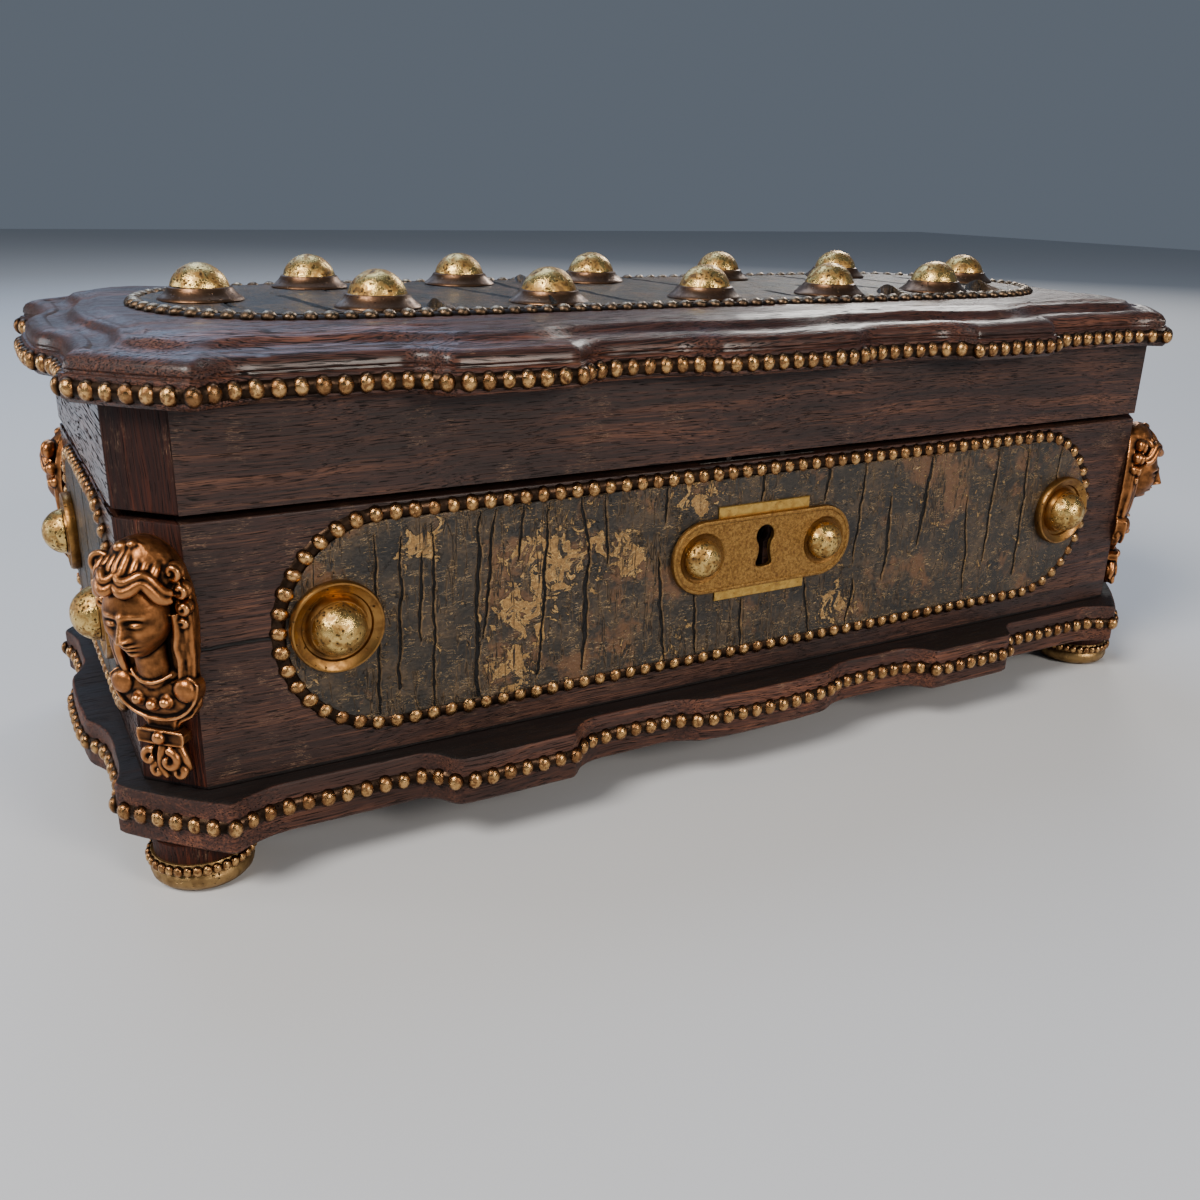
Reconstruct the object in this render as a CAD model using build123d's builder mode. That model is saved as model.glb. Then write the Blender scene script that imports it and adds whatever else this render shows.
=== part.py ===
from build123d import *
import os

os.makedirs("parts", exist_ok=True)

# An oak jewelry casket on a serpentine plinth, with a hinged moulded lid, pearl
# beading, hide panels, brass studs and corner masks. Millimetres, Z up, the front
# faces -Y, and the origin is on the ground at the centre of the feet.

# Carcass
body_length = 290.0
body_depth = 118.0
corner_leg = 10.5  # leg of the 45 degree canted corners
wall = 8.0
case_height = 55.8
lid_gap = 1.6  # the lid stands clear of the case on the hinges and the lining
rail_height = 20.4
lining = 1.5

# Plinth, feet and lid slab
foot_height = 11.0
plinth_thickness = 11.5
edge_bevel = 0.8
slab_band = 5.2  # upright edge of the lid slab, which carries the beading
foot_x, foot_y = 135.5, 50.5
neck_radius = 9.6
ring_radius = 11.5
pad_radius = 8.6

# Heights
plinth_z = foot_height
case_z = plinth_z + plinth_thickness
rim_z = case_z + case_height
lid_z = rim_z + lid_gap
slab_z = lid_z + rail_height
half_length = body_length / 2
half_depth = body_depth / 2
flat_x = half_length - corner_leg  # where the front's flat face ends
flat_y = half_depth - corner_leg
inner_x = half_length - wall
inner_y = half_depth - wall

# Panels, their pearls and their studs
hide = 1.0  # thickness of the hide panels
front_panel_z = case_z + 30.6
front_panel_half = (118.0, 23.0)  # to the centre line of the pearls
side_panel_half = (43.6, 23.0)
lid_panel_half = (130.0, 36.0)
pearl = (2.7, 3.7, 1.9)  # along the edge, across it, and proud of it
pearl_pitch = 4.15
pearl_sunk = 0.2
plinth_pearl_z = plinth_z + 5.9
lid_pearl_z = slab_z + 2.7
stud_radius = 6.2
rosette_radius = 9.7
rosette_height = 2.6
panel_stud_z = case_z + 31.6
front_stud_x = 106.6
side_stud_y = 32.2

# The lid's twelve studs stand on cone washers, five along each side and one at each end
# and set by hand, a few millimetres out of true
washer_radius = 9.0
washer_height = 3.0
front_lid_studs = (-83.4, -41.5, 2.7, 43.2, 81.4)
back_lid_studs = (-84.2, -43.1, -2.4, 41.9, 88.0)
end_lid_studs = (-116.0, 118.5)
lid_stud_y = 25.5

# Hinges
hinge_x = 78.0
knuckle_radius = 1.9
knuckle_bore = 0.95
pin_radius = 0.9
hinge_length = 30.0
leaf = 1.0
hinge_y = half_depth + knuckle_radius + 0.15
hinge_z = rim_z + lid_gap / 2

# Lock
lock_half_width = 17.0
lock_bottom = case_z + 27.5
lock_depth = 5.5
lock_wall = 0.8
keyhole_z = case_z + 37.6
keyhole_radius = 2.7
keyhole_slot = (2.8, 9.2)
staple_x = 8.0
link_half_width = 14.0
link_front = -half_depth + 1.7
link_depth = 6.2
escutcheon_z = case_z + 34.0


def serpentine(inset=0.0):
    """The shared plan of plinth and lid: bow, cove, block, cove and canted corner."""
    bow, cove, block, horn = 8.8, 4.7, 10.3, 8.0  # how far each stands off the case
    outer_cove, side_cove, side_bow = 3.6, 3.8, 8.0
    y = half_depth - inset
    x = half_length - inset
    slope = 0.414 * inset  # a mitred corner of 135 degrees moves this far
    soft = 0.3 * inset
    stations = [
        ((0, y + bow), 0),
        ((20 - soft, y + bow - 0.9), 1.0),
        ((31 - soft, y + cove), 0),
        ((46 + soft, y + cove), 1.4),
        ((55.5 + soft, y + block), 0),
        ((80.5 - soft, y + block), -0.7),
        ((87 - soft, y + 6.8), 0.8),
        ((95, y + outer_cove), 0),
        ((119, y + outer_cove), 1.0),
        ((131.5 - slope, y + horn), 0),
        ((x + 6, 47.5 - slope), 0),
        ((x + side_cove, 36 - soft), 0),
        ((x + side_cove, 25 + soft), 0.8),
        ((x + side_bow - 0.6, 14), 0),
        ((x + side_bow, 0), 0),
    ]
    with BuildLine() as outline:
        for (start, sagitta), (end, _) in zip(stations, stations[1:]):
            if sagitta:
                SagittaArc(start, end, -sagitta)
            else:
                Line(start, end)
        mirror(about=Plane.YZ)
        mirror(about=Plane.XZ)
    return make_face(outline.edges())


def canted_rectangle(length, width, leg):
    """A rectangle with its four corners cut at 45 degrees."""
    with BuildLine() as outline:
        Polyline(
            (length / 2, 0),
            (length / 2, width / 2 - leg),
            (length / 2 - leg, width / 2),
            (0, width / 2),
        )
        mirror(about=Plane.YZ)
        mirror(about=Plane.XZ)
    return make_face(outline.edges())


def save(name, piece):
    piece.part.label = name
    export_step(piece.part, f"parts/{name}.step")
    saved.append(name)


saved = []

# One pearl of the beading: a four-sided point, its base on the XY plane
with BuildPart() as pearl_bead:
    with BuildSketch() as pearl_base:
        Rectangle(pearl[0], pearl[1])
    loft(sections=[pearl_base.sketch.face(), Vertex(0, 0, pearl[2] + pearl_sunk)], ruled=True)


def pearls_round(wire, outward):
    """Planes along a closed wire for pearls that face outward(position, tangent)."""
    count = round(wire.length / pearl_pitch)
    planes = []
    for i in range(count):
        place = wire.position_at((i + 0.5) / count)
        along = wire.tangent_at((i + 0.5) / count)
        normal = outward(along)
        planes.append(Plane(place - normal * pearl_sunk, x_dir=along, z_dir=normal))
    return planes


# Plinth: a solid serpentine board, softened along its upper edge
with BuildPart() as base_board:
    with BuildSketch(Plane.XY.offset(plinth_z)):
        serpentine()
    extrude(amount=plinth_thickness - edge_bevel)
    with BuildSketch(Plane.XY.offset(case_z - edge_bevel)):
        serpentine()
    with BuildSketch(Plane.XY.offset(case_z)):
        serpentine(edge_bevel)
    loft(ruled=True)
save("base_board", base_board)

with BuildSketch() as edge_plan:
    serpentine()
plan_wire = edge_plan.sketch.face().outer_wire()
turn = 1 if plan_wire.tangent_at(0).Y * plan_wire.position_at(0).X > 0 else -1


def off_the_edge(along):
    """Outward normal of an upright edge whose plan runs along this tangent."""
    return Vector(along.Y, -along.X, 0) * turn


with BuildPart() as plinth_beads:
    places = pearls_round(plan_wire.moved(Location((0, 0, plinth_pearl_z))), off_the_edge)
    with Locations(*places):
        add(pearl_bead.part)
save("plinth_beads", plinth_beads)

# Feet: an oak neck, a gilt ring and a brass pad at each corner
feet = [Location((sx * foot_x, sy * foot_y, 0)) for sx in (-1, 1) for sy in (-1, 1)]
ring_bottom = 4.3
ring_top = 6.8

with BuildPart() as neck:
    with BuildSketch(Plane.XZ):
        with BuildLine():
            Polyline(
                (0, ring_top),
                (neck_radius, ring_top),
                (neck_radius, plinth_z),
                (0, plinth_z),
                close=True,
            )
        make_face()
    revolve(axis=Axis.Z)

with BuildPart() as ring:
    with BuildSketch(Plane.XZ):
        with BuildLine():
            Polyline(
                (0, ring_bottom),
                (ring_radius - 0.9, ring_bottom),
                (ring_radius, (ring_bottom + ring_top) / 2),
                (ring_radius - 0.9, ring_top),
                (0, ring_top),
                close=True,
            )
        make_face()
    revolve(axis=Axis.Z)

with BuildPart() as pad:
    with BuildSketch(Plane.XZ):
        with BuildLine():
            Polyline(
                (0, 0),
                (pad_radius, 0),
                (pad_radius + 2.0, 1.6),
                (pad_radius + 1.8, ring_bottom),
                (0, ring_bottom),
                close=True,
            )
        make_face()
    revolve(axis=Axis.Z)

with BuildPart() as foot_necks:
    with Locations(*feet):
        add(neck.part)
save("foot_necks", foot_necks)

with BuildPart() as foot_rings:
    with Locations(*feet):
        add(ring.part)
save("foot_rings", foot_rings)

with BuildPart() as foot_pads:
    with Locations(*feet):
        add(pad.part)
save("foot_pads", foot_pads)


def board(low, high):
    """A board between two opposite corners."""
    size = [b - a for a, b in zip(low, high)]
    middle = tuple((a + b) / 2 for a, b in zip(low, high))
    with Locations(middle):
        Box(*size)


def corner_posts(bottom, height):
    """Four posts whose outer faces are the canted corners."""
    with BuildSketch(Plane.XY.offset(bottom)) as posts:
        with BuildLine():
            Polyline(
                (flat_x, half_depth),
                (half_length, flat_y),
                (inner_x, flat_y),
                (flat_x, inner_y),
                close=True,
            )
        make_face()
        mirror(about=Plane.YZ)
        mirror(about=Plane.XZ)
    extrude(posts.sketch, amount=height)


# Carcass: four boards between four corner posts, with the keyhole and a mortise for the
# lock in the front, and the hinge leaves let into the top of the back
def keyhole(depth_from, depth_to):
    """Cuts a keyhole, a round head over a straight foot, between two depths."""
    with BuildSketch(Plane.XZ.offset(-depth_from)) as opening:
        with Locations((0, keyhole_z)):
            Circle(keyhole_radius)
        with Locations((0, keyhole_z - keyhole_slot[1] / 2)):
            Rectangle(*keyhole_slot)
    extrude(opening.sketch, amount=depth_from - depth_to, mode=Mode.SUBTRACT)


lock_back = -inner_y
lock_front = lock_back - lock_depth

with BuildPart() as case_front:
    board((-flat_x, -half_depth, case_z), (flat_x, -inner_y, rim_z))
    with Locations((0, lock_back - lock_depth / 2, (lock_bottom + rim_z) / 2)):
        Box(2 * lock_half_width, lock_depth, rim_z - lock_bottom, mode=Mode.SUBTRACT)
    keyhole(lock_front + 1, -half_depth - 1)
save("case_front", case_front)

with BuildPart() as case_back:
    board((-flat_x, inner_y, case_z), (flat_x, half_depth, rim_z))
    with Locations(*[(sx * hinge_x, half_depth - wall / 2, rim_z - leaf / 2) for sx in (-1, 1)]):
        Box(hinge_length, wall, leaf, mode=Mode.SUBTRACT)
save("case_back", case_back)

with BuildPart() as case_left:
    board((-half_length, -flat_y, case_z), (-inner_x, flat_y, rim_z))
save("case_left", case_left)

with BuildPart() as case_right:
    board((inner_x, -flat_y, case_z), (half_length, flat_y, rim_z))
save("case_right", case_right)

with BuildPart() as case_corner_posts:
    corner_posts(case_z, case_height)
save("case_corner_posts", case_corner_posts)

# Lining of the case: an open tray whose edge stands into the gap under the lid
inner_leg = inner_x - flat_x
lining_lip = rim_z + 1.2

with BuildPart() as case_lining:
    with BuildSketch(Plane.XY.offset(case_z)):
        canted_rectangle(2 * inner_x, 2 * inner_y, inner_leg)
    extrude(amount=lining_lip - case_z)
    with BuildSketch(Plane.XY.offset(case_z + lining)):
        canted_rectangle(2 * (inner_x - lining), 2 * (inner_y - lining), inner_leg)
    extrude(amount=lining_lip - case_z - lining, mode=Mode.SUBTRACT)
save("case_lining", case_lining)

# Hide panels with round ends, each under a border of pearls
front_face = Plane(origin=(0, -half_depth, front_panel_z), x_dir=(1, 0, 0), z_dir=(0, -1, 0))
left_face = Plane(origin=(-half_length, 0, front_panel_z), x_dir=(0, -1, 0), z_dir=(-1, 0, 0))
right_face = Plane(origin=(half_length, 0, front_panel_z), x_dir=(0, 1, 0), z_dir=(1, 0, 0))
hide_margin = 2.0  # the hide ends just inside the pearls


def stadium(half):
    """A panel outline with round ends, given its half length and half width."""
    return SlotOverall(2 * half[0], 2 * half[1])


def hide_panel(plane, half):
    with BuildSketch(plane) as outline:
        stadium([h - hide_margin for h in half])
    extrude(outline.sketch, amount=hide)


def stadium_beads(plane, half):
    """Planes for pearls that lie flat round a panel on this plane."""
    with BuildSketch() as border:
        stadium(half)
    wire = border.sketch.face().outer_wire().moved(plane.location)
    return pearls_round(wire, lambda along: plane.z_dir)


with BuildPart() as front_panel:
    hide_panel(front_face, front_panel_half)
    keyhole(-half_depth + 1, -half_depth - hide - 1)
save("front_panel", front_panel)

with BuildPart() as left_panel:
    hide_panel(left_face, side_panel_half)
save("left_panel", left_panel)

with BuildPart() as right_panel:
    hide_panel(right_face, side_panel_half)
save("right_panel", right_panel)

for name, plane, half in (
    ("front_panel_beads", front_face, front_panel_half),
    ("left_panel_beads", left_face, side_panel_half),
    ("right_panel_beads", right_face, side_panel_half),
):
    with BuildPart() as border_beads:
        with Locations(*stadium_beads(plane, half)):
            add(pearl_bead.part)
    save(name, border_beads)

# Brass rosettes and domed studs on the panels
stud_sides = 12
stud_height = 5.4

with BuildPart() as rosette:
    with BuildSketch():
        RegularPolygon(rosette_radius, 2 * stud_sides)
    with BuildSketch(Plane.XY.offset(rosette_height)):
        RegularPolygon(stud_radius + 0.3, 2 * stud_sides)
    loft(ruled=True)

# A domed nail head in twelve facets, steep at the rim and low at the crown

with BuildPart() as stud:
    with BuildSketch() as stud_rim:
        RegularPolygon(stud_radius, stud_sides)
    with BuildSketch(Plane.XY.offset(3.6)) as stud_shoulder:
        RegularPolygon(4.9, stud_sides)
    loft(
        sections=[stud_rim.sketch.face(), stud_shoulder.sketch.face(), Vertex(0, 0, stud_height)],
        ruled=True,
    )

raise_by = panel_stud_z - front_panel_z


def stud_planes(height):
    """Planes for the six panel studs, this far above the hide."""
    planes = []
    for face, offsets in (
        (front_face, (-front_stud_x, front_stud_x)),
        (left_face, (-side_stud_y, side_stud_y)),
        (right_face, (-side_stud_y, side_stud_y)),
    ):
        for offset in offsets:
            centre = face.from_local_coords(Vector(offset, raise_by, hide + height))
            planes.append(Plane(centre, x_dir=face.x_dir, z_dir=face.z_dir))
    return planes


with BuildPart() as panel_rosettes:
    with Locations(*stud_planes(0)):
        add(rosette.part)
save("panel_rosettes", panel_rosettes)

with BuildPart() as panel_studs:
    with Locations(*stud_planes(rosette_height)):
        add(stud.part)
save("panel_studs", panel_studs)

# Escutcheon: a rectangular back plate, a stadium plate over it and two dished studs
plate_back = -half_depth - hide
backplate_size = (26.4, 23.6, 0.6)
plate_half = (26.8, 8.3)
plate_thickness = 1.2
escutcheon_face = Plane(origin=(0, plate_back, escutcheon_z), x_dir=(1, 0, 0), z_dir=(0, -1, 0))
plate_face = escutcheon_face.offset(backplate_size[2])
escutcheon_stud_x = 18.4
dish_radius = 4.9
dish_height = 0.7

with BuildPart() as escutcheon_backplate:
    with BuildSketch(escutcheon_face):
        Rectangle(backplate_size[0], backplate_size[1])
    extrude(amount=backplate_size[2])
    keyhole(plate_back + 1, plate_back - 2)
save("escutcheon_backplate", escutcheon_backplate)

with BuildPart() as escutcheon_plate:
    with BuildSketch(plate_face):
        stadium(plate_half)
    extrude(amount=plate_thickness)
    chamfer(escutcheon_plate.faces().sort_by(Axis.Y)[0].outer_wire().edges(), length=0.5)
    keyhole(plate_back, plate_back - 3)
save("escutcheon_plate", escutcheon_plate)

with BuildPart() as small_stud:
    with BuildSketch():
        RegularPolygon(dish_radius, stud_sides)
    extrude(amount=dish_height)
    with BuildSketch(Plane.XY.offset(dish_height)) as dome_rim:
        RegularPolygon(3.5, stud_sides)
    with BuildSketch(Plane.XY.offset(2.4)) as dome_shoulder:
        RegularPolygon(2.7, stud_sides)
    loft(
        sections=[dome_rim.sketch.face(), dome_shoulder.sketch.face(), Vertex(0, 0, 3.3)],
        ruled=True,
    )

with BuildPart() as escutcheon_studs:
    stud_face = plate_face.offset(plate_thickness)
    with Locations(*[stud_face.location * Location((sx * escutcheon_stud_x, 0, 0)) for sx in (-1, 1)]):
        add(small_stud.part)
save("escutcheon_studs", escutcheon_studs)

# Corner masks: cast classical heads on the canted corners, above a collar, a clasp and a
# leaf. Drawn in the plane of the corner's face, with Y up from the foot of the leaf.
mask_bottom = case_z + 2.4
mask_backing = 2.2
canted_x = (flat_x + half_length) / 2
canted_y = (flat_y + half_depth) / 2


def mask_outline(*points):
    """A face symmetric about the mask's upright axis, from the points of its right half."""
    with BuildLine() as outline:
        Polyline(*points)
        mirror(about=Plane.YZ)
    return make_face(outline.edges())


with BuildPart() as mask:
    # backing: leaf, clasp band, stem, shoulders and the hair's outline
    with BuildSketch():
        mask_outline(
            (0, 0), (4.2, 2.4), (3.2, 6.2), (5.4, 6.2), (5.4, 9.6), (3, 9.6), (3, 12.3),
            (8.6, 15), (9.4, 21), (8.4, 24), (10.2, 30), (9.8, 39), (6.4, 46), (0, 49.6),
        )
    extrude(amount=mask_backing)
    # crescent collar with a disc at each end, and clasp band
    with BuildSketch(Plane.XY.offset(mask_backing)):
        mask_outline((0, 13.2), (5.8, 15), (8.4, 19.6), (7, 21.6), (4.4, 18.4), (0, 17))
        with Locations((-7.2, 20.2), (7.2, 20.2)):
            RegularPolygon(2.5, 8)
        with Locations((0, 7.9)):
            Rectangle(9.6, 2.4)
    extrude(amount=1.4)
    # hair rolled back on each side under a diadem
    with BuildSketch(Plane.XY.offset(mask_backing)):
        mask_outline(
            (0, 40.4), (4.4, 39), (5.4, 28), (8.6, 28), (9.2, 38.4), (5.8, 45), (0, 48),
        )
    extrude(amount=3.4, taper=14)
    # neck, and a head that narrows forward to its middle line
    with BuildSketch(Plane.XY.offset(mask_backing)):
        mask_outline((0, 18.6), (3.2, 19.6), (3.2, 27), (0, 27))
    extrude(amount=2.4)
    with BuildSketch(Plane.XY.offset(mask_backing)) as head_edge:
        mask_outline((0, 24.6), (3.4, 27), (5.3, 32.4), (5.1, 38), (0, 42))
    with BuildSketch(Plane.XY.offset(mask_backing + 6.2)) as head_front:
        mask_outline((0, 26.6), (1.5, 28.4), (2.9, 32.8), (2.7, 37), (0, 39))
    loft(sections=[head_edge.sketch.face(), head_front.sketch.face()], ruled=True)
    with BuildSketch(Plane.XY.offset(mask_backing + 6)) as nose:
        mask_outline((0, 31), (1.2, 31.4), (0.5, 35.4), (0, 35.4))
    loft(sections=[nose.sketch.face(), Vertex(0, 31.6, mask_backing + 7.6)], ruled=True)

with BuildPart() as corner_masks:
    corners = []
    for sx in (-1, 1):
        for sy in (-1, 1):
            outward = Vector(sx, sy, 0)
            seat = Plane(
                (sx * canted_x, sy * canted_y, mask_bottom),
                x_dir=Vector(-sy, sx, 0),
                z_dir=outward,
            )
            corners.append(seat)
    with Locations(*corners):
        add(mask.part)
save("corner_masks", corner_masks)

# Lid: four rails and four corner posts under the moulded slab
with BuildPart() as lid_front:
    board((-flat_x, -half_depth, lid_z), (flat_x, -inner_y, slab_z))
    with Locations((0, link_front + link_depth / 2, lid_z + leaf / 2)):
        Box(2 * link_half_width, link_depth, leaf, mode=Mode.SUBTRACT)
save("lid_front", lid_front)

with BuildPart() as lid_back:
    board((-flat_x, inner_y, lid_z), (flat_x, half_depth, slab_z))
    with Locations(*[(sx * hinge_x, half_depth - wall / 2, lid_z + leaf / 2) for sx in (-1, 1)]):
        Box(hinge_length, wall, leaf, mode=Mode.SUBTRACT)
save("lid_back", lid_back)

with BuildPart() as lid_left:
    board((-half_length, -flat_y, lid_z), (-inner_x, flat_y, slab_z))
save("lid_left", lid_left)

with BuildPart() as lid_right:
    board((inner_x, -flat_y, lid_z), (half_length, flat_y, slab_z))
save("lid_right", lid_right)

with BuildPart() as lid_corner_posts:
    corner_posts(lid_z, rail_height)
save("lid_corner_posts", lid_corner_posts)

# Lid slab: an upright band, a quirk, an ovolo and a shallow hollow up to the flat top,
# each given as its inset from the band and its height above it
crown = ((0.9, 0.0), (2.0, 3.6), (6.4, 5.4), (13.5, 6.4))
top_z = slab_z + slab_band + crown[-1][1]

with BuildPart() as lid_top:
    with BuildSketch(Plane.XY.offset(slab_z)):
        serpentine()
    extrude(amount=slab_band)
    for inset, height in crown:
        with BuildSketch(Plane.XY.offset(slab_z + slab_band + height)):
            serpentine(inset)
    loft(ruled=True)
save("lid_top", lid_top)

with BuildPart() as lid_edge_beads:
    places = pearls_round(plan_wire.moved(Location((0, 0, lid_pearl_z))), off_the_edge)
    with Locations(*places):
        add(pearl_bead.part)
save("lid_edge_beads", lid_edge_beads)

top_face = Plane.XY.offset(top_z)

with BuildPart() as lid_panel:
    hide_panel(top_face, lid_panel_half)
save("lid_panel", lid_panel)

with BuildPart() as lid_panel_beads:
    with Locations(*stadium_beads(top_face, lid_panel_half)):
        add(pearl_bead.part)
save("lid_panel_beads", lid_panel_beads)

with BuildPart() as washer:
    with BuildSketch():
        RegularPolygon(washer_radius, stud_sides)
    with BuildSketch(Plane.XY.offset(washer_height)):
        RegularPolygon(stud_radius + 0.2, stud_sides)
    loft(ruled=True)

lid_stud_places = [(x, -lid_stud_y) for x in front_lid_studs]
lid_stud_places += [(x, lid_stud_y) for x in back_lid_studs]
lid_stud_places += [(x, 0) for x in end_lid_studs]

with BuildPart() as lid_stud_washers:
    with Locations(*[(x, y, top_z + hide) for x, y in lid_stud_places]):
        add(washer.part)
save("lid_stud_washers", lid_stud_washers)

with BuildPart() as lid_studs:
    with Locations(*[(x, y, top_z + hide + washer_height) for x, y in lid_stud_places]):
        add(stud.part)
save("lid_studs", lid_studs)

# Lining of the lid: a shallow tray, open downwards
with BuildPart() as lid_lining:
    with BuildSketch(Plane.XY.offset(lid_z + 0.3)):
        canted_rectangle(2 * inner_x, 2 * inner_y, inner_leg)
    extrude(amount=slab_z - lid_z - 0.3)
    with BuildSketch(Plane.XY.offset(lid_z + 0.3)):
        canted_rectangle(2 * (inner_x - lining), 2 * (inner_y - lining), inner_leg)
    extrude(amount=slab_z - lid_z - 0.3 - lining, mode=Mode.SUBTRACT)
save("lid_lining", lid_lining)

# Butt hinges: leaves let into the rims, knuckles behind the seam, and a pin
outer_knuckle = 9.0
knuckle_gap = 0.3
middle_knuckle = hinge_length - 2 * outer_knuckle - 2 * knuckle_gap


def hinge_half(leaf_bottom, knuckles):
    """A leaf with its knuckles, centred on X = 0; knuckles are (centre, length)."""
    with Locations((0, half_depth - wall / 2, leaf_bottom + leaf / 2)):
        Box(hinge_length, wall, leaf)
    for centre, length in knuckles:
        with Locations((centre, (half_depth + hinge_y) / 2, leaf_bottom + leaf / 2)):
            Box(length, hinge_y - half_depth, leaf)
        with BuildSketch(Plane.YZ.offset(centre - length / 2)) as barrel:
            with Locations((hinge_y, hinge_z)):
                Circle(knuckle_radius)
        extrude(barrel.sketch, amount=length)
        with BuildSketch(Plane.YZ.offset(centre - length / 2)) as bore:
            with Locations((hinge_y, hinge_z)):
                Circle(knuckle_bore)
        extrude(bore.sketch, amount=length, mode=Mode.SUBTRACT)


end_knuckle_x = (hinge_length - outer_knuckle) / 2
with BuildPart() as case_hinge_half:
    hinge_half(rim_z - leaf, [(-end_knuckle_x, outer_knuckle), (end_knuckle_x, outer_knuckle)])

with BuildPart() as lid_hinge_half:
    hinge_half(lid_z, [(0, middle_knuckle)])

with BuildPart() as hinge_pin:
    with BuildSketch(Plane.YZ.offset(-hinge_length / 2)):
        with Locations((hinge_y, hinge_z)):
            Circle(pin_radius)
    extrude(amount=hinge_length)

for name, piece in (
    ("case_hinge_leaves", case_hinge_half),
    ("lid_hinge_leaves", lid_hinge_half),
    ("hinge_pins", hinge_pin),
):
    with BuildPart() as pair:
        with Locations((-hinge_x, 0, 0), (hinge_x, 0, 0)):
            add(piece.part)
    save(name, pair)

# Lock: an open-backed case in the mortise, a cap over it, a key pin, and a bolt with two
# fingers that slides through the staples of the link plate on the lid
lock_top_slot = 2.9
room_front = lock_front + lock_wall
cap_front = lock_back - lock_wall
bolt_y = (room_front + cap_front) / 2
bolt_thickness = 1.6
bolt_bottom = keyhole_z + 1.9
bolt_plate_top = rim_z - 7.5
finger_height = 2.2
finger_bottom = rim_z - 5.3
staple_thickness = 1.5
staple_width = 3.0
staple_bottom = rim_z - 6.8
eye_bottom = finger_bottom - 0.4
eye_height = finger_height + 0.8
eye_width = bolt_thickness + 0.6
guide_x = 13.6  # two blocks that the bolt slides on
guide_size = (5.2, cap_front - room_front - 0.8, 2.0)
bolt_travel = 4.0

with BuildPart() as lock_case:
    board((-lock_half_width, lock_front, lock_bottom), (lock_half_width, cap_front, rim_z))
    with Locations((0, (room_front + cap_front) / 2, (lock_bottom + rim_z) / 2)):
        Box(
            2 * (lock_half_width - lock_wall),
            cap_front - room_front,
            rim_z - lock_bottom - 2 * lock_wall,
            mode=Mode.SUBTRACT,
        )
    with Locations(*[(sx * staple_x, bolt_y, rim_z - lock_wall / 2) for sx in (-1, 1)]):
        Box(lock_top_slot, cap_front - room_front, lock_wall, mode=Mode.SUBTRACT)
    keyhole(room_front, lock_front - 0.5)
    for sx in (-1, 1):
        with Locations((sx * guide_x, bolt_y - 0.4, bolt_bottom - 1.1)):
            Box(*guide_size)
save("lock_case", lock_case)

with BuildPart() as lock_cap:
    board((-lock_half_width, cap_front, lock_bottom), (lock_half_width, lock_back, rim_z))
save("lock_cap", lock_cap)

with BuildPart() as lock_key_pin:
    with BuildSketch(Plane.XZ.offset(-cap_front)):
        with Locations((0, keyhole_z)):
            Circle(0.8)
    extrude(amount=cap_front - lock_front)
save("lock_key_pin", lock_key_pin)

with BuildPart() as lock_bolt:
    with BuildSketch(Plane.XZ.offset(-bolt_y - bolt_thickness / 2)):
        with BuildLine():
            Polyline(
                (-6.0, bolt_bottom),
                (-1.5, bolt_bottom),
                (-1.5, bolt_bottom + 2.6),
                (2.5, bolt_bottom + 2.6),
                (2.5, bolt_bottom),
                (15.5, bolt_bottom),
                (15.5, finger_bottom + finger_height),
                (9.6, finger_bottom + finger_height),
                (9.6, finger_bottom),
                (13.1, finger_bottom),
                (13.1, bolt_plate_top),
                (-0.6, bolt_plate_top),
                (-0.6, finger_bottom + finger_height),
                (-6.4, finger_bottom + finger_height),
                (-6.4, finger_bottom),
                (-3.0, finger_bottom),
                (-3.0, bolt_plate_top),
                (-6.0, bolt_plate_top),
                close=True,
            )
        make_face()
    extrude(amount=bolt_thickness)
save("lock_bolt", lock_bolt)

with BuildPart() as link_plate:
    board(
        (-link_half_width, link_front, lid_z),
        (link_half_width, link_front + link_depth, lid_z + leaf),
    )
save("link_plate", link_plate)

with BuildPart() as link_staples:
    with Locations(*[(sx * staple_x, bolt_y, (staple_bottom + lid_z) / 2) for sx in (-1, 1)]):
        Box(staple_thickness, staple_width, lid_z - staple_bottom)
    with Locations(*[(sx * staple_x, bolt_y, eye_bottom + eye_height / 2) for sx in (-1, 1)]):
        Box(staple_thickness, eye_width, eye_height, mode=Mode.SUBTRACT)
save("link_staples", link_staples)

print("pieces", saved)
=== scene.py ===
import math
import random
from functools import partial

import bmesh
import bpy
from mathutils import Matrix, Vector, noise


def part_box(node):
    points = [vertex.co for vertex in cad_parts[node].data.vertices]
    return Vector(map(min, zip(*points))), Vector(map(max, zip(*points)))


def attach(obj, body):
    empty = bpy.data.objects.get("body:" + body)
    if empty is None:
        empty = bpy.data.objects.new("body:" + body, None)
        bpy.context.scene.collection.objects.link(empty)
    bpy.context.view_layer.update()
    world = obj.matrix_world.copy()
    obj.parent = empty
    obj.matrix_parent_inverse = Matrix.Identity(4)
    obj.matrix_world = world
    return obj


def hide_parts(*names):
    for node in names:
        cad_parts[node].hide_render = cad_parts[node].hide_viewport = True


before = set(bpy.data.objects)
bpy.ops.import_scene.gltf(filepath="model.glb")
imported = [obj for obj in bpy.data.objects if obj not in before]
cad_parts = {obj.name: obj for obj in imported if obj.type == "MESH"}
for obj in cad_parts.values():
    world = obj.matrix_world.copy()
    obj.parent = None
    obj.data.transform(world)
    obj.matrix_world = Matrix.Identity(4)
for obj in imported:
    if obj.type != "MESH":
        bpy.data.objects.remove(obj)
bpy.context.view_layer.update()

# A dark oak casket with pearl beading, cracked hide, brass studs and corner masks
mm = 0.001
quarter = math.pi / 2
scene = bpy.context.scene
rng = random.Random(12)


# Camera, light and floor

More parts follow.
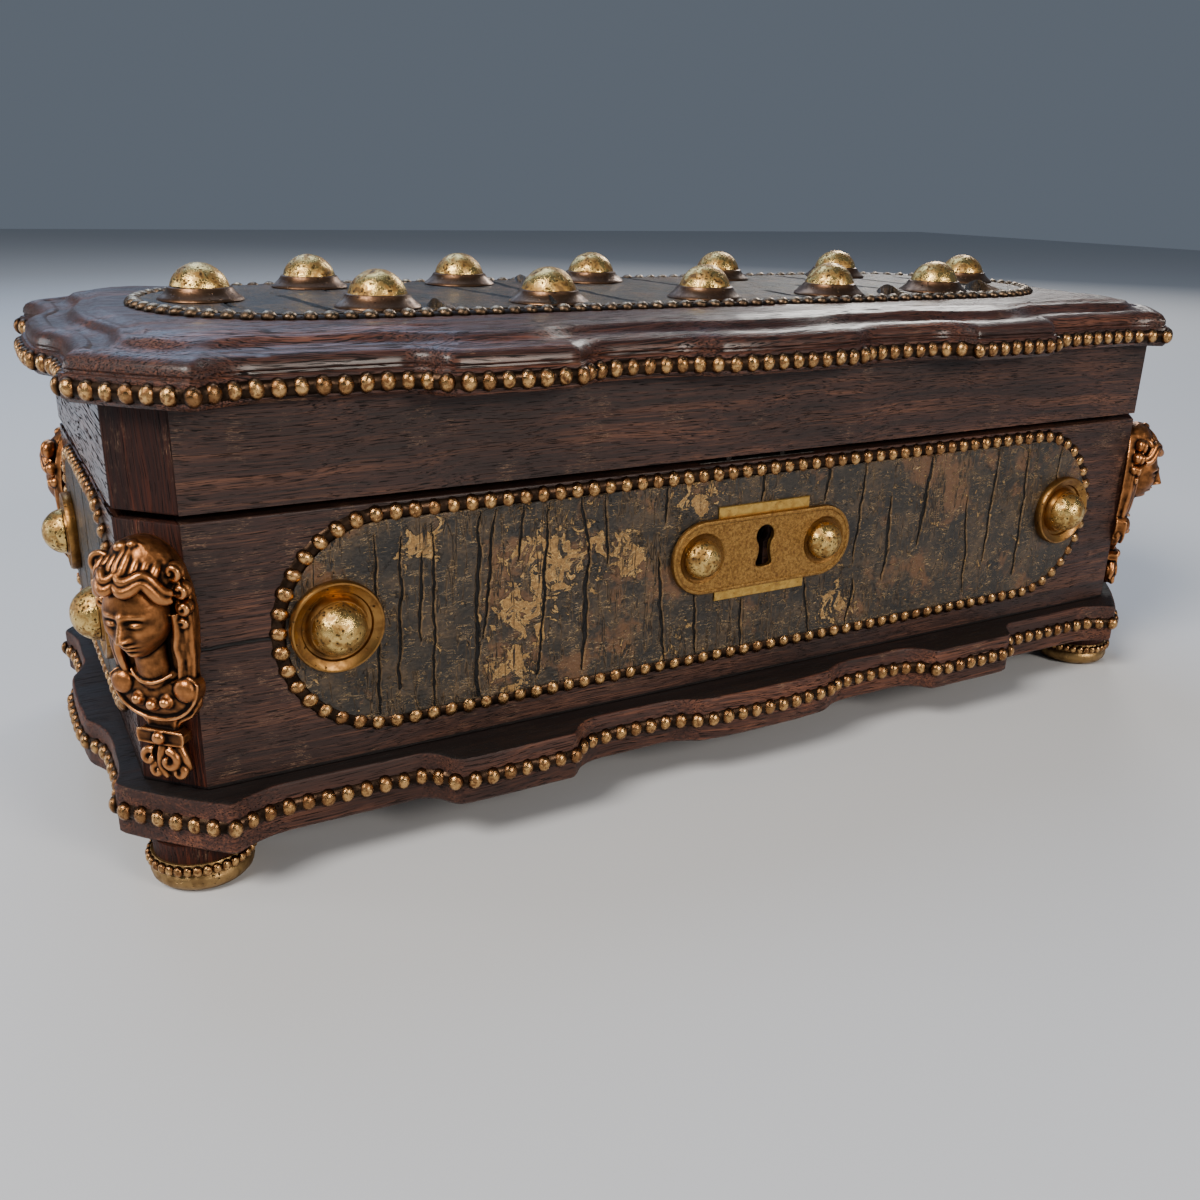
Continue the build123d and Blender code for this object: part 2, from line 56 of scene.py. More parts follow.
cameraView = {
    "place": (-0.1670, -0.2742, 0.1396),
    "turn": 60.37,
    "tilt": -20.01,
    "roll": -1.46,
    "focal": 1144.2,  # in pixels of the 1200 pixel frame
    "frame": 1200,
    "sensor": 36,
}


def makeCamera(values):
    turn, tilt, roll = (math.radians(values[k]) for k in ("turn", "tilt", "roll"))
    forward = Vector((math.cos(tilt) * math.cos(turn), math.cos(tilt) * math.sin(turn), math.sin(tilt)))
    right = forward.cross(Vector((0, 0, 1))).normalized()
    down = forward.cross(right)
    across = math.cos(roll) * right + math.sin(roll) * down
    below = math.cos(roll) * down - math.sin(roll) * right
    data = bpy.data.cameras.new("camera")
    data.sensor_width = values["sensor"]
    data.lens = values["focal"] / values["frame"] * values["sensor"]
    data.clip_start = 0.01
    camera = bpy.data.objects.new("camera", data)
    turned = Matrix((across, -below, -forward)).transposed().to_4x4()
    camera.matrix_world = Matrix.Translation(values["place"]) @ turned
    scene.collection.objects.link(camera)
    scene.camera = camera


lights = {
    "key": {"place": (-0.75, -0.35, 0.85), "size": 0.45, "power": 14.0, "color": (1.0, 0.94, 0.86)},
    "sky": {"place": (-0.15, 1.1, 0.75), "size": 0.7, "power": 2.2, "color": (0.50, 0.70, 1.0)},
    "over": {"place": (0.1, 0.75, 1.25), "size": 0.9, "power": 7.5, "color": (0.52, 0.70, 1.0)},
    "glare": {"place": (1.15, 1.0, 0.8), "size": 0.5, "power": 7.5, "color": (1.0, 0.97, 0.92)},
    "front": {"place": (0.35, -1.1, 0.55), "size": 0.4, "power": 9.0, "color": (1.0, 0.92, 0.82)},
    "side": {"place": (-1.1, 0.55, 0.30), "size": 0.4, "power": 3.5, "color": (0.92, 0.96, 1.0)},
}
lightAim = (0, 0, 0.06)
world = {"color": (0.42, 0.50, 0.62), "strength": 0.27}
floor = {"size": 3.0, "color": (0.56, 0.57, 0.59), "roughness": 0.85}


def makeLights(values):
    for name, one in values.items():
        data = bpy.data.lights.new(name, "AREA")
        data.shape = "DISK"
        data.size = one["size"]
        data.energy = one["power"]
        data.color = one["color"]
        lamp = bpy.data.objects.new(name, data)
        lamp.location = one["place"]
        aim = Vector(lightAim) - Vector(one["place"])
        lamp.rotation_euler = aim.to_track_quat("-Z", "Y").to_euler()
        scene.collection.objects.link(lamp)


def makeWorld(values):
    sky = bpy.data.worlds.new("studio")
    sky.use_nodes = True
    back = sky.node_tree.nodes["Background"]
    back.inputs["Color"].default_value = (*values["color"], 1)
    back.inputs["Strength"].default_value = values["strength"]
    scene.world = sky


makeCamera(cameraView)
makeLights(lights)
makeWorld(world)


# Shader helpers: each node is made in the tree of the sockets that feed it

def isSocket(value):
    return isinstance(value, bpy.types.NodeSocket)


def newNode(kind, *values):
    tree = next(v for v in values if isSocket(v)).id_data
    return tree.nodes.new("ShaderNode" + kind)


def plugIn(socket, value):
    if isSocket(value):
        socket.id_data.links.new(value, socket)
    elif isinstance(value, tuple) and len(socket.default_value) == 4:
        socket.default_value = (*value, 1)
    else:
        socket.default_value = value


def filled(node, **values):
    for key, value in values.items():
        plugIn(node.inputs[key], value)
    return node


def mathNode(operation, *values):
    node = newNode("Math", *values)
    node.operation = operation
    for socket, value in zip(node.inputs, values):
        plugIn(socket, value)
    return node.outputs[0]


plus, minus, times, larger, absolute = (
    partial(mathNode, name) for name in ("ADD", "SUBTRACT", "MULTIPLY", "MAXIMUM", "ABSOLUTE")
)


def mixColor(factor, first, second, blend="MIX"):
    node = newNode("Mix", factor, first, second)
    node.data_type = "RGBA"
    node.blend_type = blend
    for index, value in zip((0, 6, 7), (factor, first, second)):
        plugIn(node.inputs[index], value)
    return node.outputs[2]


def rampNode(factor, *stops):  # each stop is a place with a grey value or a colour
    node = newNode("ValToRGB", factor)
    elements = node.color_ramp.elements
    stops = [(place, value if isinstance(value, tuple) else (value,) * 3) for place, value in stops]
    for element, (place, value) in zip(elements, (stops[0], stops[-1])):
        element.position = place
        element.color = (*value, 1)
    for place, value in stops[1:-1]:
        elements.new(place).color = (*value, 1)
    plugIn(node.inputs[0], factor)
    return node.outputs[0]


def mappedTo(vector, scale=(1, 1, 1), turn=(0, 0, 0), shift=(0, 0, 0)):
    node = newNode("Mapping", vector)
    return filled(node, Vector=vector, Scale=scale, Rotation=turn, Location=shift).outputs[0]


def noiseNode(vector, scale, detail=4, roughness=0.55, distortion=0.0):
    if isinstance(scale, tuple):
        vector, scale = mappedTo(vector, scale), 1.0
    node = newNode("TexNoise", vector)
    filled(node, Vector=vector, Scale=scale, Detail=detail, Roughness=roughness, Distortion=distortion)
    return node.outputs["Fac"]


def newGroup(name, inputs, outputs):
    group = bpy.data.node_groups.new(name, "ShaderNodeTree")
    for label, kind in inputs.items():
        group.interface.new_socket(name=label, in_out="INPUT", socket_type=kind)
    for label in outputs:
        group.interface.new_socket(name=label, in_out="OUTPUT", socket_type="NodeSocketFloat")
    return group, group.nodes.new("NodeGroupInput").outputs, group.nodes.new("NodeGroupOutput")


def useGroup(group, **values):
    node = newNode("Group", *values.values())
    node.node_tree = group
    return filled(node, **values).outputs


def newMaterial(name, **values):
    made = bpy.data.materials.new(name)
    made.use_nodes = True
    nodes = made.node_tree.nodes
    shader = filled(nodes["Principled BSDF"], **values)
    place = mappedTo(nodes.new("ShaderNodeTexCoord").outputs["Object"], (1000, 1000, 1000))  # in millimetres
    return made, shader, place


def readMask(shader, name):
    node = shader.id_data.nodes.new("ShaderNodeAttribute")
    node.attribute_name = name
    return node.outputs["Fac"]


def bumpInto(shader, height, distance):
    node = filled(newNode("Bump", height), Height=height, Distance=distance, Strength=1.0)
    plugIn(shader.inputs["Normal"], node.outputs["Normal"])


# Shared effects: oak grain, and the patina of old brass

def grainGroup():
    group, entry, leave = newGroup("oakGrain", {"Vector": "NodeSocketVector"}, ("Tone", "Pores", "Height"))
    along = entry["Vector"]  # millimetres, the grain along X
    bend = newNode("VectorMath", along)
    bend.operation = "MULTIPLY_ADD"
    for socket, value in zip(bend.inputs, (noiseNode(along, (0.009, 0.022, 0.022), 3), (0, 11, 11), along)):
        plugIn(socket, value)
    flow = bend.outputs[0]
    bands = noiseNode(flow, (0.004, 0.26, 0.26), 5, 0.62)
    streaks = noiseNode(flow, (0.011, 2.5, 2.5), 5, 0.72)
    pores = plus(noiseNode(flow, (0.17, 4.8, 4.8), 1, 0.5), times(minus(bands, 0.5), 0.25))
    filled(leave, Tone=plus(times(bands, 0.4), times(streaks, 0.6)), Pores=pores, Height=times(streaks, 0.4))
    return group


def patinaGroup():
    inputs = {"Vector": "NodeSocketVector", "Size": "NodeSocketFloat"}
    group, entry, leave = newGroup("patina", inputs, ("Stain", "Pits", "Fine"))
    scaled = newNode("VectorMath", entry["Vector"])
    scaled.operation = "SCALE"
    plugIn(scaled.inputs[0], entry["Vector"])
    place = filled(scaled, Scale=entry["Size"]).outputs[0]
    cells = filled(newNode("TexVoronoi", place), Vector=place, Scale=0.9)
    pits = rampNode(cells.outputs["Distance"], (0.1, 1.0), (0.5, 0.0))
    pits = times(pits, rampNode(noiseNode(place, 0.8, 4, 0.65), (0.38, 0.0), (0.58, 1.0)))
    filled(leave, Stain=noiseNode(place, 0.32, 6, 0.62, 0.4), Pits=pits, Fine=noiseNode(place, 3.2, 4, 0.6))
    return group


oakGrain = grainGroup()
patina = patinaGroup()


# Oak: boards run along the front and the sides, posts stand upright

oakLooks = {
    "dark": (0.015, 0.0066, 0.0048),
    "mid": (0.046, 0.0180, 0.0125),
    "warm": (0.150, 0.060, 0.032),
    "scuff": (0.27, 0.155, 0.09),
    "pore": (0.004, 0.0028, 0.0025),
    # painted shade of the gap between the case and the plinth
    "gapShade": (0.003, 0.002, 0.002),
    "split": (0.004, 0.003, 0.0025),
    "poreDepth": 0.25 * mm,
}
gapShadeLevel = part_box("base_board")[1].z / mm + 0.3  # painted shade lies where the case meets the plinth


def axesOf(place):
    return filled(newNode("SeparateXYZ", place), Vector=place).outputs


def addSplit(place, tone, height, split):  # a drying crack along the grain
    axes = axesOf(place)
    wander = noiseNode(place, (0.05, 0, 0))
    level = plus(axes["Z"], times(wander, split["wander"]))
    away = absolute(minus(level, split["level"] + split["wander"] / 2))
    line = rampNode(away, (split["width"] * 0.4, 1.0), (split["width"], 0.0))
    reach = times(minus(axes["X"], split["from"]), 1 / split["length"])
    line = times(line, rampNode(reach, (0.7, 1.0), (1.0, 0.0)))
    return mixColor(line, tone, oakLooks["split"]), minus(height, times(line, 3.0))


def oakMaterial(
    name, turn=(0, 0, 0), tint=(1, 1, 1), coat=0.05, rough=(0.45, 0.62), split=None, sheen=0.33, poreCut=0.625,
    coarse=1.0, waves=0.0,
):
    made, shader, flat = newMaterial(name, **{"Specular IOR Level": sheen, "Coat Roughness": 0.26})
    looks = oakLooks
    place = mappedTo(flat, (coarse, coarse, coarse), turn)
    grain = useGroup(oakGrain, Vector=place)
    tone = rampNode(grain["Tone"], (0.40, looks["dark"]), (0.5, looks["mid"]), (0.62, looks["warm"]))
    blotch = noiseNode(place, (0.02, 0.06, 0.06))
    tone = mixColor(rampNode(blotch, (0.36, 0.65), (0.62, 0.0)), tone, looks["dark"])
    tone = mixColor(1.0, tone, tint, "MULTIPLY")
    scuff = absolute(minus(noiseNode(place, (0.10, 1.2, 1.2), 4, 0.65, 0.3), 0.5))
    worn = rampNode(noiseNode(place, 0.09, 4, 0.6), (0.56, 0.0), (0.65, 0.6))
    tone = mixColor(times(rampNode(scuff, (0.006, 1.0), (0.016, 0.0)), worn), tone, looks["scuff"])
    pores = rampNode(grain["Pores"], (poreCut, 0.0), (poreCut + 0.045, 1.0))
    tone = mixColor(times(pores, 0.92), tone, looks["pore"])
    height = minus(grain["Height"], pores)
    # Painted shade: the boards turn near black in a band where the case meets the plinth, for the shadow of a gap
    # there.
    gapShade = absolute(minus(axesOf(flat)["Z"], gapShadeLevel))
    gapShade = rampNode(plus(gapShade, times(blotch, 0.8)), (0.9, 1.0), (1.8, 0.0))
    tone = mixColor(times(gapShade, 0.93), tone, looks["gapShade"])
    if waves:  # old varnish that lies in swells
        height = plus(height, times(noiseNode(place, (0.07, 0.32, 0.32), 3, 0.5), waves))
        height = plus(height, times(grain["Height"], waves))
    if split:
        tone, height = addSplit(flat, tone, height, split)
    dull = rampNode(grain["Tone"], (0.36, rough[0]), (0.62, rough[1]))
    coated = times(minus(1.0, pores), coat)
    filled(shader, **{"Base Color": tone, "Roughness": plus(dull, times(pores, 0.35)), "Coat Weight": coated})
    bumpInto(shader, height, looks["poreDepth"])
    return made


frontSplit = {"level": 53.0, "wander": 3.0, "width": 0.5, "from": -134.5, "length": 44.0}
oakAlong = oakMaterial("oakAlong", coarse=1.2)
oakFront = oakMaterial("oakFront", split=frontSplit, coarse=1.2)
oakSide = oakMaterial("oakSide", (0, 0, quarter), coat=1.0, rough=(0.38, 0.5), sheen=0.0, poreCut=0.55, coarse=0.6)
# the corner posts and foot necks: a redder oak, darkened further as painted shade
oakUpright = oakMaterial("oakUpright", (0, quarter, 0), (0.62, 0.33, 0.22), coat=0.0, rough=(0.55, 0.7), sheen=0.2)
oakSlab = oakMaterial(
    "oakSlab", tint=(1.2, 1.0, 0.88), coat=0.45, rough=(0.24, 0.50), sheen=0.2, poreCut=0.575, coarse=0.8, waves=1.2,
)
# the plinth's oak is tinted lighter as painted light, where its band catches the light
oakPlinth = oakMaterial("oakPlinth", tint=(1.25, 1.12, 1.05), coat=0.03, rough=(0.48, 0.6), sheen=0.28, coarse=0.8)


# Brass, gilding and bronze

def metalMaterial(
    name, bright, dull, dirtAndShade, size=1.0, rough=(0.28, 0.6), pitDepth=0.25, stains=(0.42, 0.6), paintLightByRise=False,
    pitCover=0.0, grain=0.0,
):
    made, shader, place = newMaterial(name, Metallic=1.0)
    spots = useGroup(patina, Vector=place, Size=size)
    stained = rampNode(spots["Stain"], (stains[0], 0.0), (stains[1], 1.0))
    tone = mixColor(stained, bright, dull)
    dirtAndShadeMask = rampNode(spots["Pits"], (0.5 - 2 * pitCover, 0.0), (0.9 - 3 * pitCover, 1.0))
    tone = mixColor(times(dirtAndShadeMask, 0.88), tone, dirtAndShade)
    if paintLightByRise:  # painted light: a highlight on each bead's crown, painted shade with some dirt round its foot
        rise = readMask(shader, "rise")
        # painted shade with dirt where the bead meets its strip, and low on the lock plate
        foot = rampNode(rise, (0.12, 1.0), (0.55, 0.0))
        tone = mixColor(rampNode(readMask(shader, "tone"), (0.55, 0.0), (1.0, 0.8)), tone, dull)
        # painted highlight: below the crown the colour is dulled
        tone = mixColor(rampNode(rise, (0.55, 0.85), (0.92, 0.0)), tone, dull)
        tone = mixColor(foot, tone, dirtAndShade)
        dirtAndShadeMask = larger(dirtAndShadeMask, foot)
    blot = rampNode(spots["Stain"], (stains[1] + 0.04, 0.0), (stains[1] + 0.08, 0.75))
    tone = mixColor(blot, tone, tuple(3 * c for c in dirtAndShade))
    height = minus(times(spots["Fine"], 0.25), dirtAndShadeMask)
    if grain:
        speckle = noiseNode(place, 3.0, 2, 0.55)
        flecks = rampNode(speckle, (0.38, (0.76, 0.73, 0.68)), (0.62, (1.16, 1.16, 1.16)))
        tone = mixColor(1.0, tone, flecks, "MULTIPLY")
        height = plus(height, times(speckle, grain))
    gloss = plus(rough[0], times(larger(dirtAndShadeMask, stained), rough[1] - rough[0]))
    filled(shader, **{"Base Color": tone, "Roughness": gloss})
    bumpInto(shader, height, pitDepth * mm)
    return made


# the beads' gilding has painted highlights on the crowns and painted shade round the feet
gilt = metalMaterial(
    "wornGildingPaintedLight", (0.68, 0.40, 0.155), (0.19, 0.085, 0.034), (0.018, 0.010, 0.006), 3.2, (0.16, 0.5), 0.14,
    (0.44, 0.62), True,
)
darkGilt = metalMaterial(
    "rubbedGildingPaintedLight", (0.52, 0.37, 0.22), (0.12, 0.075, 0.045), (0.012, 0.008, 0.006), 3.2, (0.18, 0.5), 0.14,
    (0.40, 0.58), True,
)
# the dark strip under the pearls: its own dark metal, and painted shade between and round the pearls
stripMetalAndShade = metalMaterial(
    "stripMetalAndShade", (0.040, 0.023, 0.014), (0.016, 0.010, 0.007), (0.006, 0.004, 0.003), 1.2, (0.3, 0.6), 0.1,
)
pittedBrass = metalMaterial(
    "pittedBrass", (0.74, 0.50, 0.17), (0.36, 0.20, 0.06), (0.028, 0.017, 0.009), 1.25, (0.2, 0.5), 0.3,
    (0.44, 0.56), pitCover=0.12,
)
washerBrass = metalMaterial(
    "tarnishedBrass", (0.17, 0.092, 0.050), (0.08, 0.042, 0.025), (0.02, 0.012, 0.009), 1.0, (0.28, 0.48), 0.15,
)
turnedBrass = metalMaterial(
    "turnedBrass", (0.34, 0.175, 0.05), (0.17, 0.08, 0.025), (0.04, 0.021, 0.010), 0.8, (0.33, 0.5), 0.08,
)
# on the lock plate the rise mask paints shade into the rim's foot, the dishes and the keyhole
plateBrass = metalMaterial(
    "plateBrass", (0.38, 0.21, 0.062), (0.22, 0.11, 0.033), (0.045, 0.020, 0.009), 4.0, (0.34, 0.52), 0.12,
    paintLightByRise=True, grain=1.3,
)
stripBrass = metalMaterial(
    "stripBrass", (0.60, 0.37, 0.095), (0.42, 0.24, 0.06), (0.10, 0.055, 0.02), 1.6, (0.3, 0.5), 0.05,
)
padBrass = metalMaterial("padBrass", (0.34, 0.21, 0.085), (0.2, 0.12, 0.05), (0.05, 0.032, 0.018), 0.9, (0.36, 0.6))
lockSteel = metalMaterial(
    "lockSteel", (0.12, 0.11, 0.105), (0.06, 0.055, 0.05), (0.03, 0.02, 0.016), 0.7, (0.4, 0.65), 0.08,
)


# Mesh helpers

def meshFrom(bm, name):
    mesh = bpy.data.meshes.new(name)
    bm.to_mesh(mesh)
    bm.free()
    return mesh


def finishPiece(name, bm, material, body, stands=(), smoothAngle=35):
    bmesh.ops.recalc_face_normals(bm, faces=bm.faces)
    for face in bm.faces:
        face.smooth = True
    mesh = meshFrom(bm, name)
    if smoothAngle:
        mesh.set_sharp_from_angle(angle=math.radians(smoothAngle))
    piece = bpy.data.objects.new(name, mesh)
    scene.collection.objects.link(piece)
    mesh.materials.append(material)
    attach(piece, body)
    if stands:
        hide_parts(*stands)
    return piece


mergeGap = 0.01 * mm


def paintNode(node, material, softEdge=0.0):
    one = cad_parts[node]
    one.data.materials.clear()
    one.data.materials.append(material)
    if softEdge:
        weld = one.modifiers.new("weld", "WELD")
        weld.merge_threshold = mergeGap
        bevel = one.modifiers.new("softEdge", "BEVEL")
        bevel.width = softEdge
        bevel.segments = 2
        bevel.limit_method = "ANGLE"
        bevel.angle_limit = math.radians(40)


def turnedMesh(profile, steps):
    bm = bmesh.new()
    verts = [bm.verts.new((r, 0, z)) for r, z in profile]
    edges = [bm.edges.new(pair) for pair in zip(verts, verts[1:])]
    bmesh.ops.spin(
        bm, geom=verts + edges, cent=(0, 0, 0), axis=(0, 0, 1), angle=2 * math.pi, steps=steps, use_merge=True,
    )
    bmesh.ops.remove_doubles(bm, verts=bm.verts, dist=mergeGap)
    bmesh.ops.recalc_face_normals(bm, faces=bm.faces)
    return meshFrom(bm, "turned")


def addMesh(bm, mesh, matrix):
    before = len(bm.verts)
    bm.from_mesh(mesh)
    bm.verts.ensure_lookup_table()
    made = bm.verts[before:]
    bmesh.ops.transform(bm, matrix=matrix, verts=made)
    return made


def faceMatrix(place, normal, upright=(0, 0, 1)):  # local X runs along the face, Y up it and Z out of it
    out = Vector(normal).normalized()
    side = Vector(upright).cross(out).normalized()
    turn = Matrix((side, out.cross(side), out)).transposed().to_4x4()
    return Matrix.Translation(place) @ turn


def bridgeAll(bm, loops):
    for lower, upper in zip(loops, loops[1:]):
        bmesh.ops.bridge_loops(bm, edges=lower + upper)


def closedLoop(bm, verts):
    return [bm.edges.new((verts[i - 1], verts[i])) for i in range(len(verts))]


def vertMasks(bm, *names):
    return [bm.verts.layers.float.new(name) for name in names]


def madeVerts(made):
    return [g for g in made["geom"] if isinstance(g, bmesh.types.BMVert)]


# Plan shared by the plinth and the lid slab: one quarter, from the middle of the front

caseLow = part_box("case_front")[0]
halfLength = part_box("case_right")[1].x
halfDepth = -caseLow.y

slabPlan = {
    "bow": 8.8 * mm,
    "cove": 4.7 * mm,
    "block": 10.3 * mm,
    "horn": 8.0 * mm,
    "outerCove": 3.6 * mm,
    "sideCove": 3.8 * mm,
    "sideBow": 8.0 * mm,
    "pointGap": 1.1 * mm,  # distance between points along the edge
}


def quarterStations(inset):  # corner points of the outline, each with the hollow of the run after it
    p = slabPlan
    y = halfDepth - inset
    x = halfLength - inset
    slope = 0.414 * inset  # a canted corner draws in by the tangent of 22.5 degrees
    soft = 0.3 * inset
    return [
        ((0, y + p["bow"]), -0.4 * mm),
        ((20 * mm - soft, y + p["bow"] - 0.9 * mm), 1.0 * mm),
        ((31 * mm - soft, y + p["cove"]), 0),
        ((46 * mm + soft, y + p["cove"]), 1.4 * mm),
        ((55.5 * mm + soft, y + p["block"]), 0),
        ((83 * mm - soft, y + p["block"]), -0.5 * mm),
        ((86 * mm - soft, y + 7.4 * mm), 0.6 * mm),
        ((90.5 * mm, y + p["outerCove"]), 0),
        ((119 * mm, y + p["outerCove"]), 1.0 * mm),
        ((131.5 * mm - slope, y + p["horn"]), -0.7 * mm),
        ((x + 6 * mm, 47.5 * mm - slope), 0.6 * mm),
        ((x + p["sideCove"], 36 * mm - soft), 0),
        ((x + p["sideCove"], 25 * mm + soft), 0.8 * mm),
        ((x + p["sideBow"] - 0.6 * mm, 14 * mm), -0.3 * mm),
        ((x + p["sideBow"], 0), 0),
    ]


def planRing(inset=0.0, soften=1):
    stations = quarterStations(inset)
    counts = quarterStations(0.0)
    points = []
    for i, ((start, dent), (end, _)) in enumerate(zip(stations, stations[1:])):
        a, b = Vector(start), Vector(end)
        full = (Vector(counts[i + 1][0]) - Vector(counts[i][0])).length
        steps = max(2, round(full / slabPlan["pointGap"]))
        run = b - a
        outward = Vector((-run.y, run.x)).normalized()
        for k in range(steps):
            t = k / steps
            points.append(a + run * t - outward * dent * 4 * t * (1 - t))
    points.append(Vector(stations[-1][0]))
    right = points + [Vector((p.x, -p.y)) for p in reversed(points[:-1])]
    left = [Vector((-p.x, p.y)) for p in reversed(right[1:-1])]
    ring = right + left
    for _ in range(soften):
        ring = [(ring[i - 1] + ring[i] * 2 + ring[(i + 1) % len(ring)]) / 4 for i in range(len(ring))]
    return ring


def sweptSlab(profile, worn=0.0):
    bm = bmesh.new()
    rings = []
    for inset, z in profile:
        soften = 1 if inset < 7 * mm else round(4 + (inset / mm - 7) * 14)
        hand = worn * min(1.0, max(0.0, (inset / mm - 1.5) / 3))  # hand work, uneven away from the edge
        verts = []
        for p in planRing(inset, soften):
            at = Vector((p.x, p.y, 0)) / mm
            rise = noise.noise(at * 0.11) + 0.45 * noise.noise(at * 0.34)
            verts.append(bm.verts.new((p.x, p.y, z + hand * rise)))
        rings.append([bm.edges.new((verts[i], verts[(i + 1) % len(verts)])) for i in range(len(verts))])
    bridgeAll(bm, rings)
    for edges in (rings[0], rings[-1]):
        bmesh.ops.contextual_create(bm, geom=edges)
    return bm


def alongPlan(gap):
    ring = planRing()
    lengths = [(ring[(i + 1) % len(ring)] - ring[i]).length for i in range(len(ring))]
    total = sum(lengths)
    count = round(total / gap)
    places = []
    i, done = 0, 0.0
    for k in range(count):
        want = (k + 0.5) / count * total
        while done + lengths[i] < want:
            done += lengths[i]
            i += 1
        a, b = ring[i], ring[(i + 1) % len(ring)]
        t = (want - done) / lengths[i]
        run = (b - a).normalized()
        places.append((a.lerp(b, t), Vector((-run.y, run.x))))
    return places


def stadiumPlaces(halfLong, halfWide, gap):
    straight = 2 * (halfLong - halfWide)
    side = straight + math.pi * halfWide  # one straight run and one round end
    count = round(2 * side / gap)
    places = []
    for k in range(count):
        s = (k + 0.5) / count * 2 * side
        flip = 1 if s < side else -1  # the second half is the first one turned round
        s -= 0 if s < side else side
        turn = max(0.0, s - straight) / halfWide
        x = min(s, straight) - straight / 2 + halfWide * math.sin(turn)
        places.append((Vector((x, halfWide * math.cos(turn))) * flip, (math.pi if flip < 0 else 0.0) - turn))
    return places


# Pearl beading

pearl = {"width": 3.85 * mm, "height": 4.3 * mm, "proud": 1.8 * mm, "gap": 4.15 * mm, "sides": 12, "rows": 8}
strip = {"half": 1.6 * mm, "proud": 0.8 * mm, "top": 0.9 * mm}


def pearlTemplate(values):
    bm = bmesh.new()
    rise, _ = vertMasks(bm, "rise", "tone")
    bmesh.ops.create_uvsphere(bm, u_segments=values["sides"], v_segments=values["rows"], radius=1.0)
    half = bm.verts[:] + bm.edges[:] + bm.faces[:]
    bmesh.ops.bisect_plane(bm, geom=half, plane_co=(0, 0, -0.01), plane_no=(0, 0, 1), clear_inner=True)
    # the rise over the strip; the gilding paints a highlight on the crown and shade round the foot from it
    for vert in bm.verts:
        vert[rise] = max(vert.co.z, 0.0)
    bmesh.ops.scale(bm, vec=(values["width"] / 2, values["height"] / 2, values["proud"]), verts=bm.verts)
    return meshFrom(bm, "pearlTemplate")


onePearl = pearlTemplate(pearl)


def pearlsAt(name, matrices, body, stands, shrink=1.0, material=gilt):  # no two pearls are quite alike
    bm = bmesh.new()
    tone, _ = vertMasks(bm, "tone", "rise")
    for matrix in matrices:
        wobble = Matrix.Rotation(rng.uniform(-0.2, 0.2), 4, "Z")
        size = shrink * rng.uniform(0.92, 1.0)
        cast = Matrix.Diagonal((size * rng.uniform(0.92, 1.0), size, size, 1))
        made = addMesh(bm, onePearl, matrix @ wobble @ cast)
        shade = rng.random()
        for vert in made:
            vert[tone] = shade
    finishPiece(name, bm, material, body, stands, smoothAngle=0)


def stripUnder(name, matrices, body):
    bm = bmesh.new()
    half, top, proud = strip["half"], strip["top"], strip["proud"]
    loops = []
    for across, out in ((-half, 0.0), (-top, proud), (top, proud), (half, 0.0)):
        loops.append(closedLoop(bm, [bm.verts.new(matrix @ Vector((0, across, out))) for matrix in matrices]))
    bridgeAll(bm, loops)
    finishPiece(name + "Strip", bm, stripMetalAndShade, body, smoothAngle=50)


def edgePearls(name, node, body):
    level = nodeCentre(node).z
    matrices = []
    for point, outward in alongPlan(pearl["gap"]):
        place = (point.x, point.y, level + rng.uniform(-0.12, 0.12) * mm)
        matrices.append(faceMatrix(place, (outward.x, outward.y, 0)))
    stripUnder(name, matrices, body)
    pearlsAt(name, matrices, body, [node])


def panelPearls(name, panel):
    matrices = []
    for point, turn in stadiumPlaces(*panel["half"], pearl["gap"]):
        local = Matrix.Translation((point.x, point.y, 0)) @ Matrix.Rotation(turn, 4, "Z")
        matrices.append(panel["seat"] @ local)
    stripUnder(name, matrices, panel["body"])
    pearlsAt(name, matrices, panel["body"], [panel["node"] + "_beads"], panel["shrink"], panel["gilding"])


def nodeCentre(node):
    low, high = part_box(node)
    return (low + high) / 2


panelLevel = nodeCentre("front_panel").z
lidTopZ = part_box("lid_top")[1].z
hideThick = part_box("lid_panel")[1].z - lidTopZ
sideHalf = (43.6 * mm, 23.0 * mm)


def panelOn(node, body, centre, normal, half, upright=(0, 0, 1), shrink=0.98, gilding=gilt):
    seat = faceMatrix(centre, normal, upright)
    return {"node": node, "body": body, "seat": seat, "half": half, "shrink": shrink, "gilding": gilding}


panels = {
    "front": panelOn("front_panel", "case", (0, -halfDepth, panelLevel), (0, -1, 0), (118.0 * mm, 23.0 * mm)),
    "left": panelOn("left_panel", "case", (-halfLength, 0, panelLevel), (-1, 0, 0), sideHalf),
    "right": panelOn("right_panel", "case", (halfLength, 0, panelLevel), (1, 0, 0), sideHalf),
    "top": panelOn(
        "lid_panel", "lid", (0, 0, lidTopZ), (0, 0, 1), (130.0 * mm, 36.0 * mm), (0, 1, 0), 1.04, darkGilt,
    ),
}
edgePearls("plinthPearls", "plinth_beads", "case")
edgePearls("lidEdgePearls", "lid_edge_beads", "lid")
for side, panel in panels.items():
    panelPearls(side + "Pearls", panel)
print("pearls done")


# Plinth and lid slab

plinthLow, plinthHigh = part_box("base_board")
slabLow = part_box("lid_top")[0]

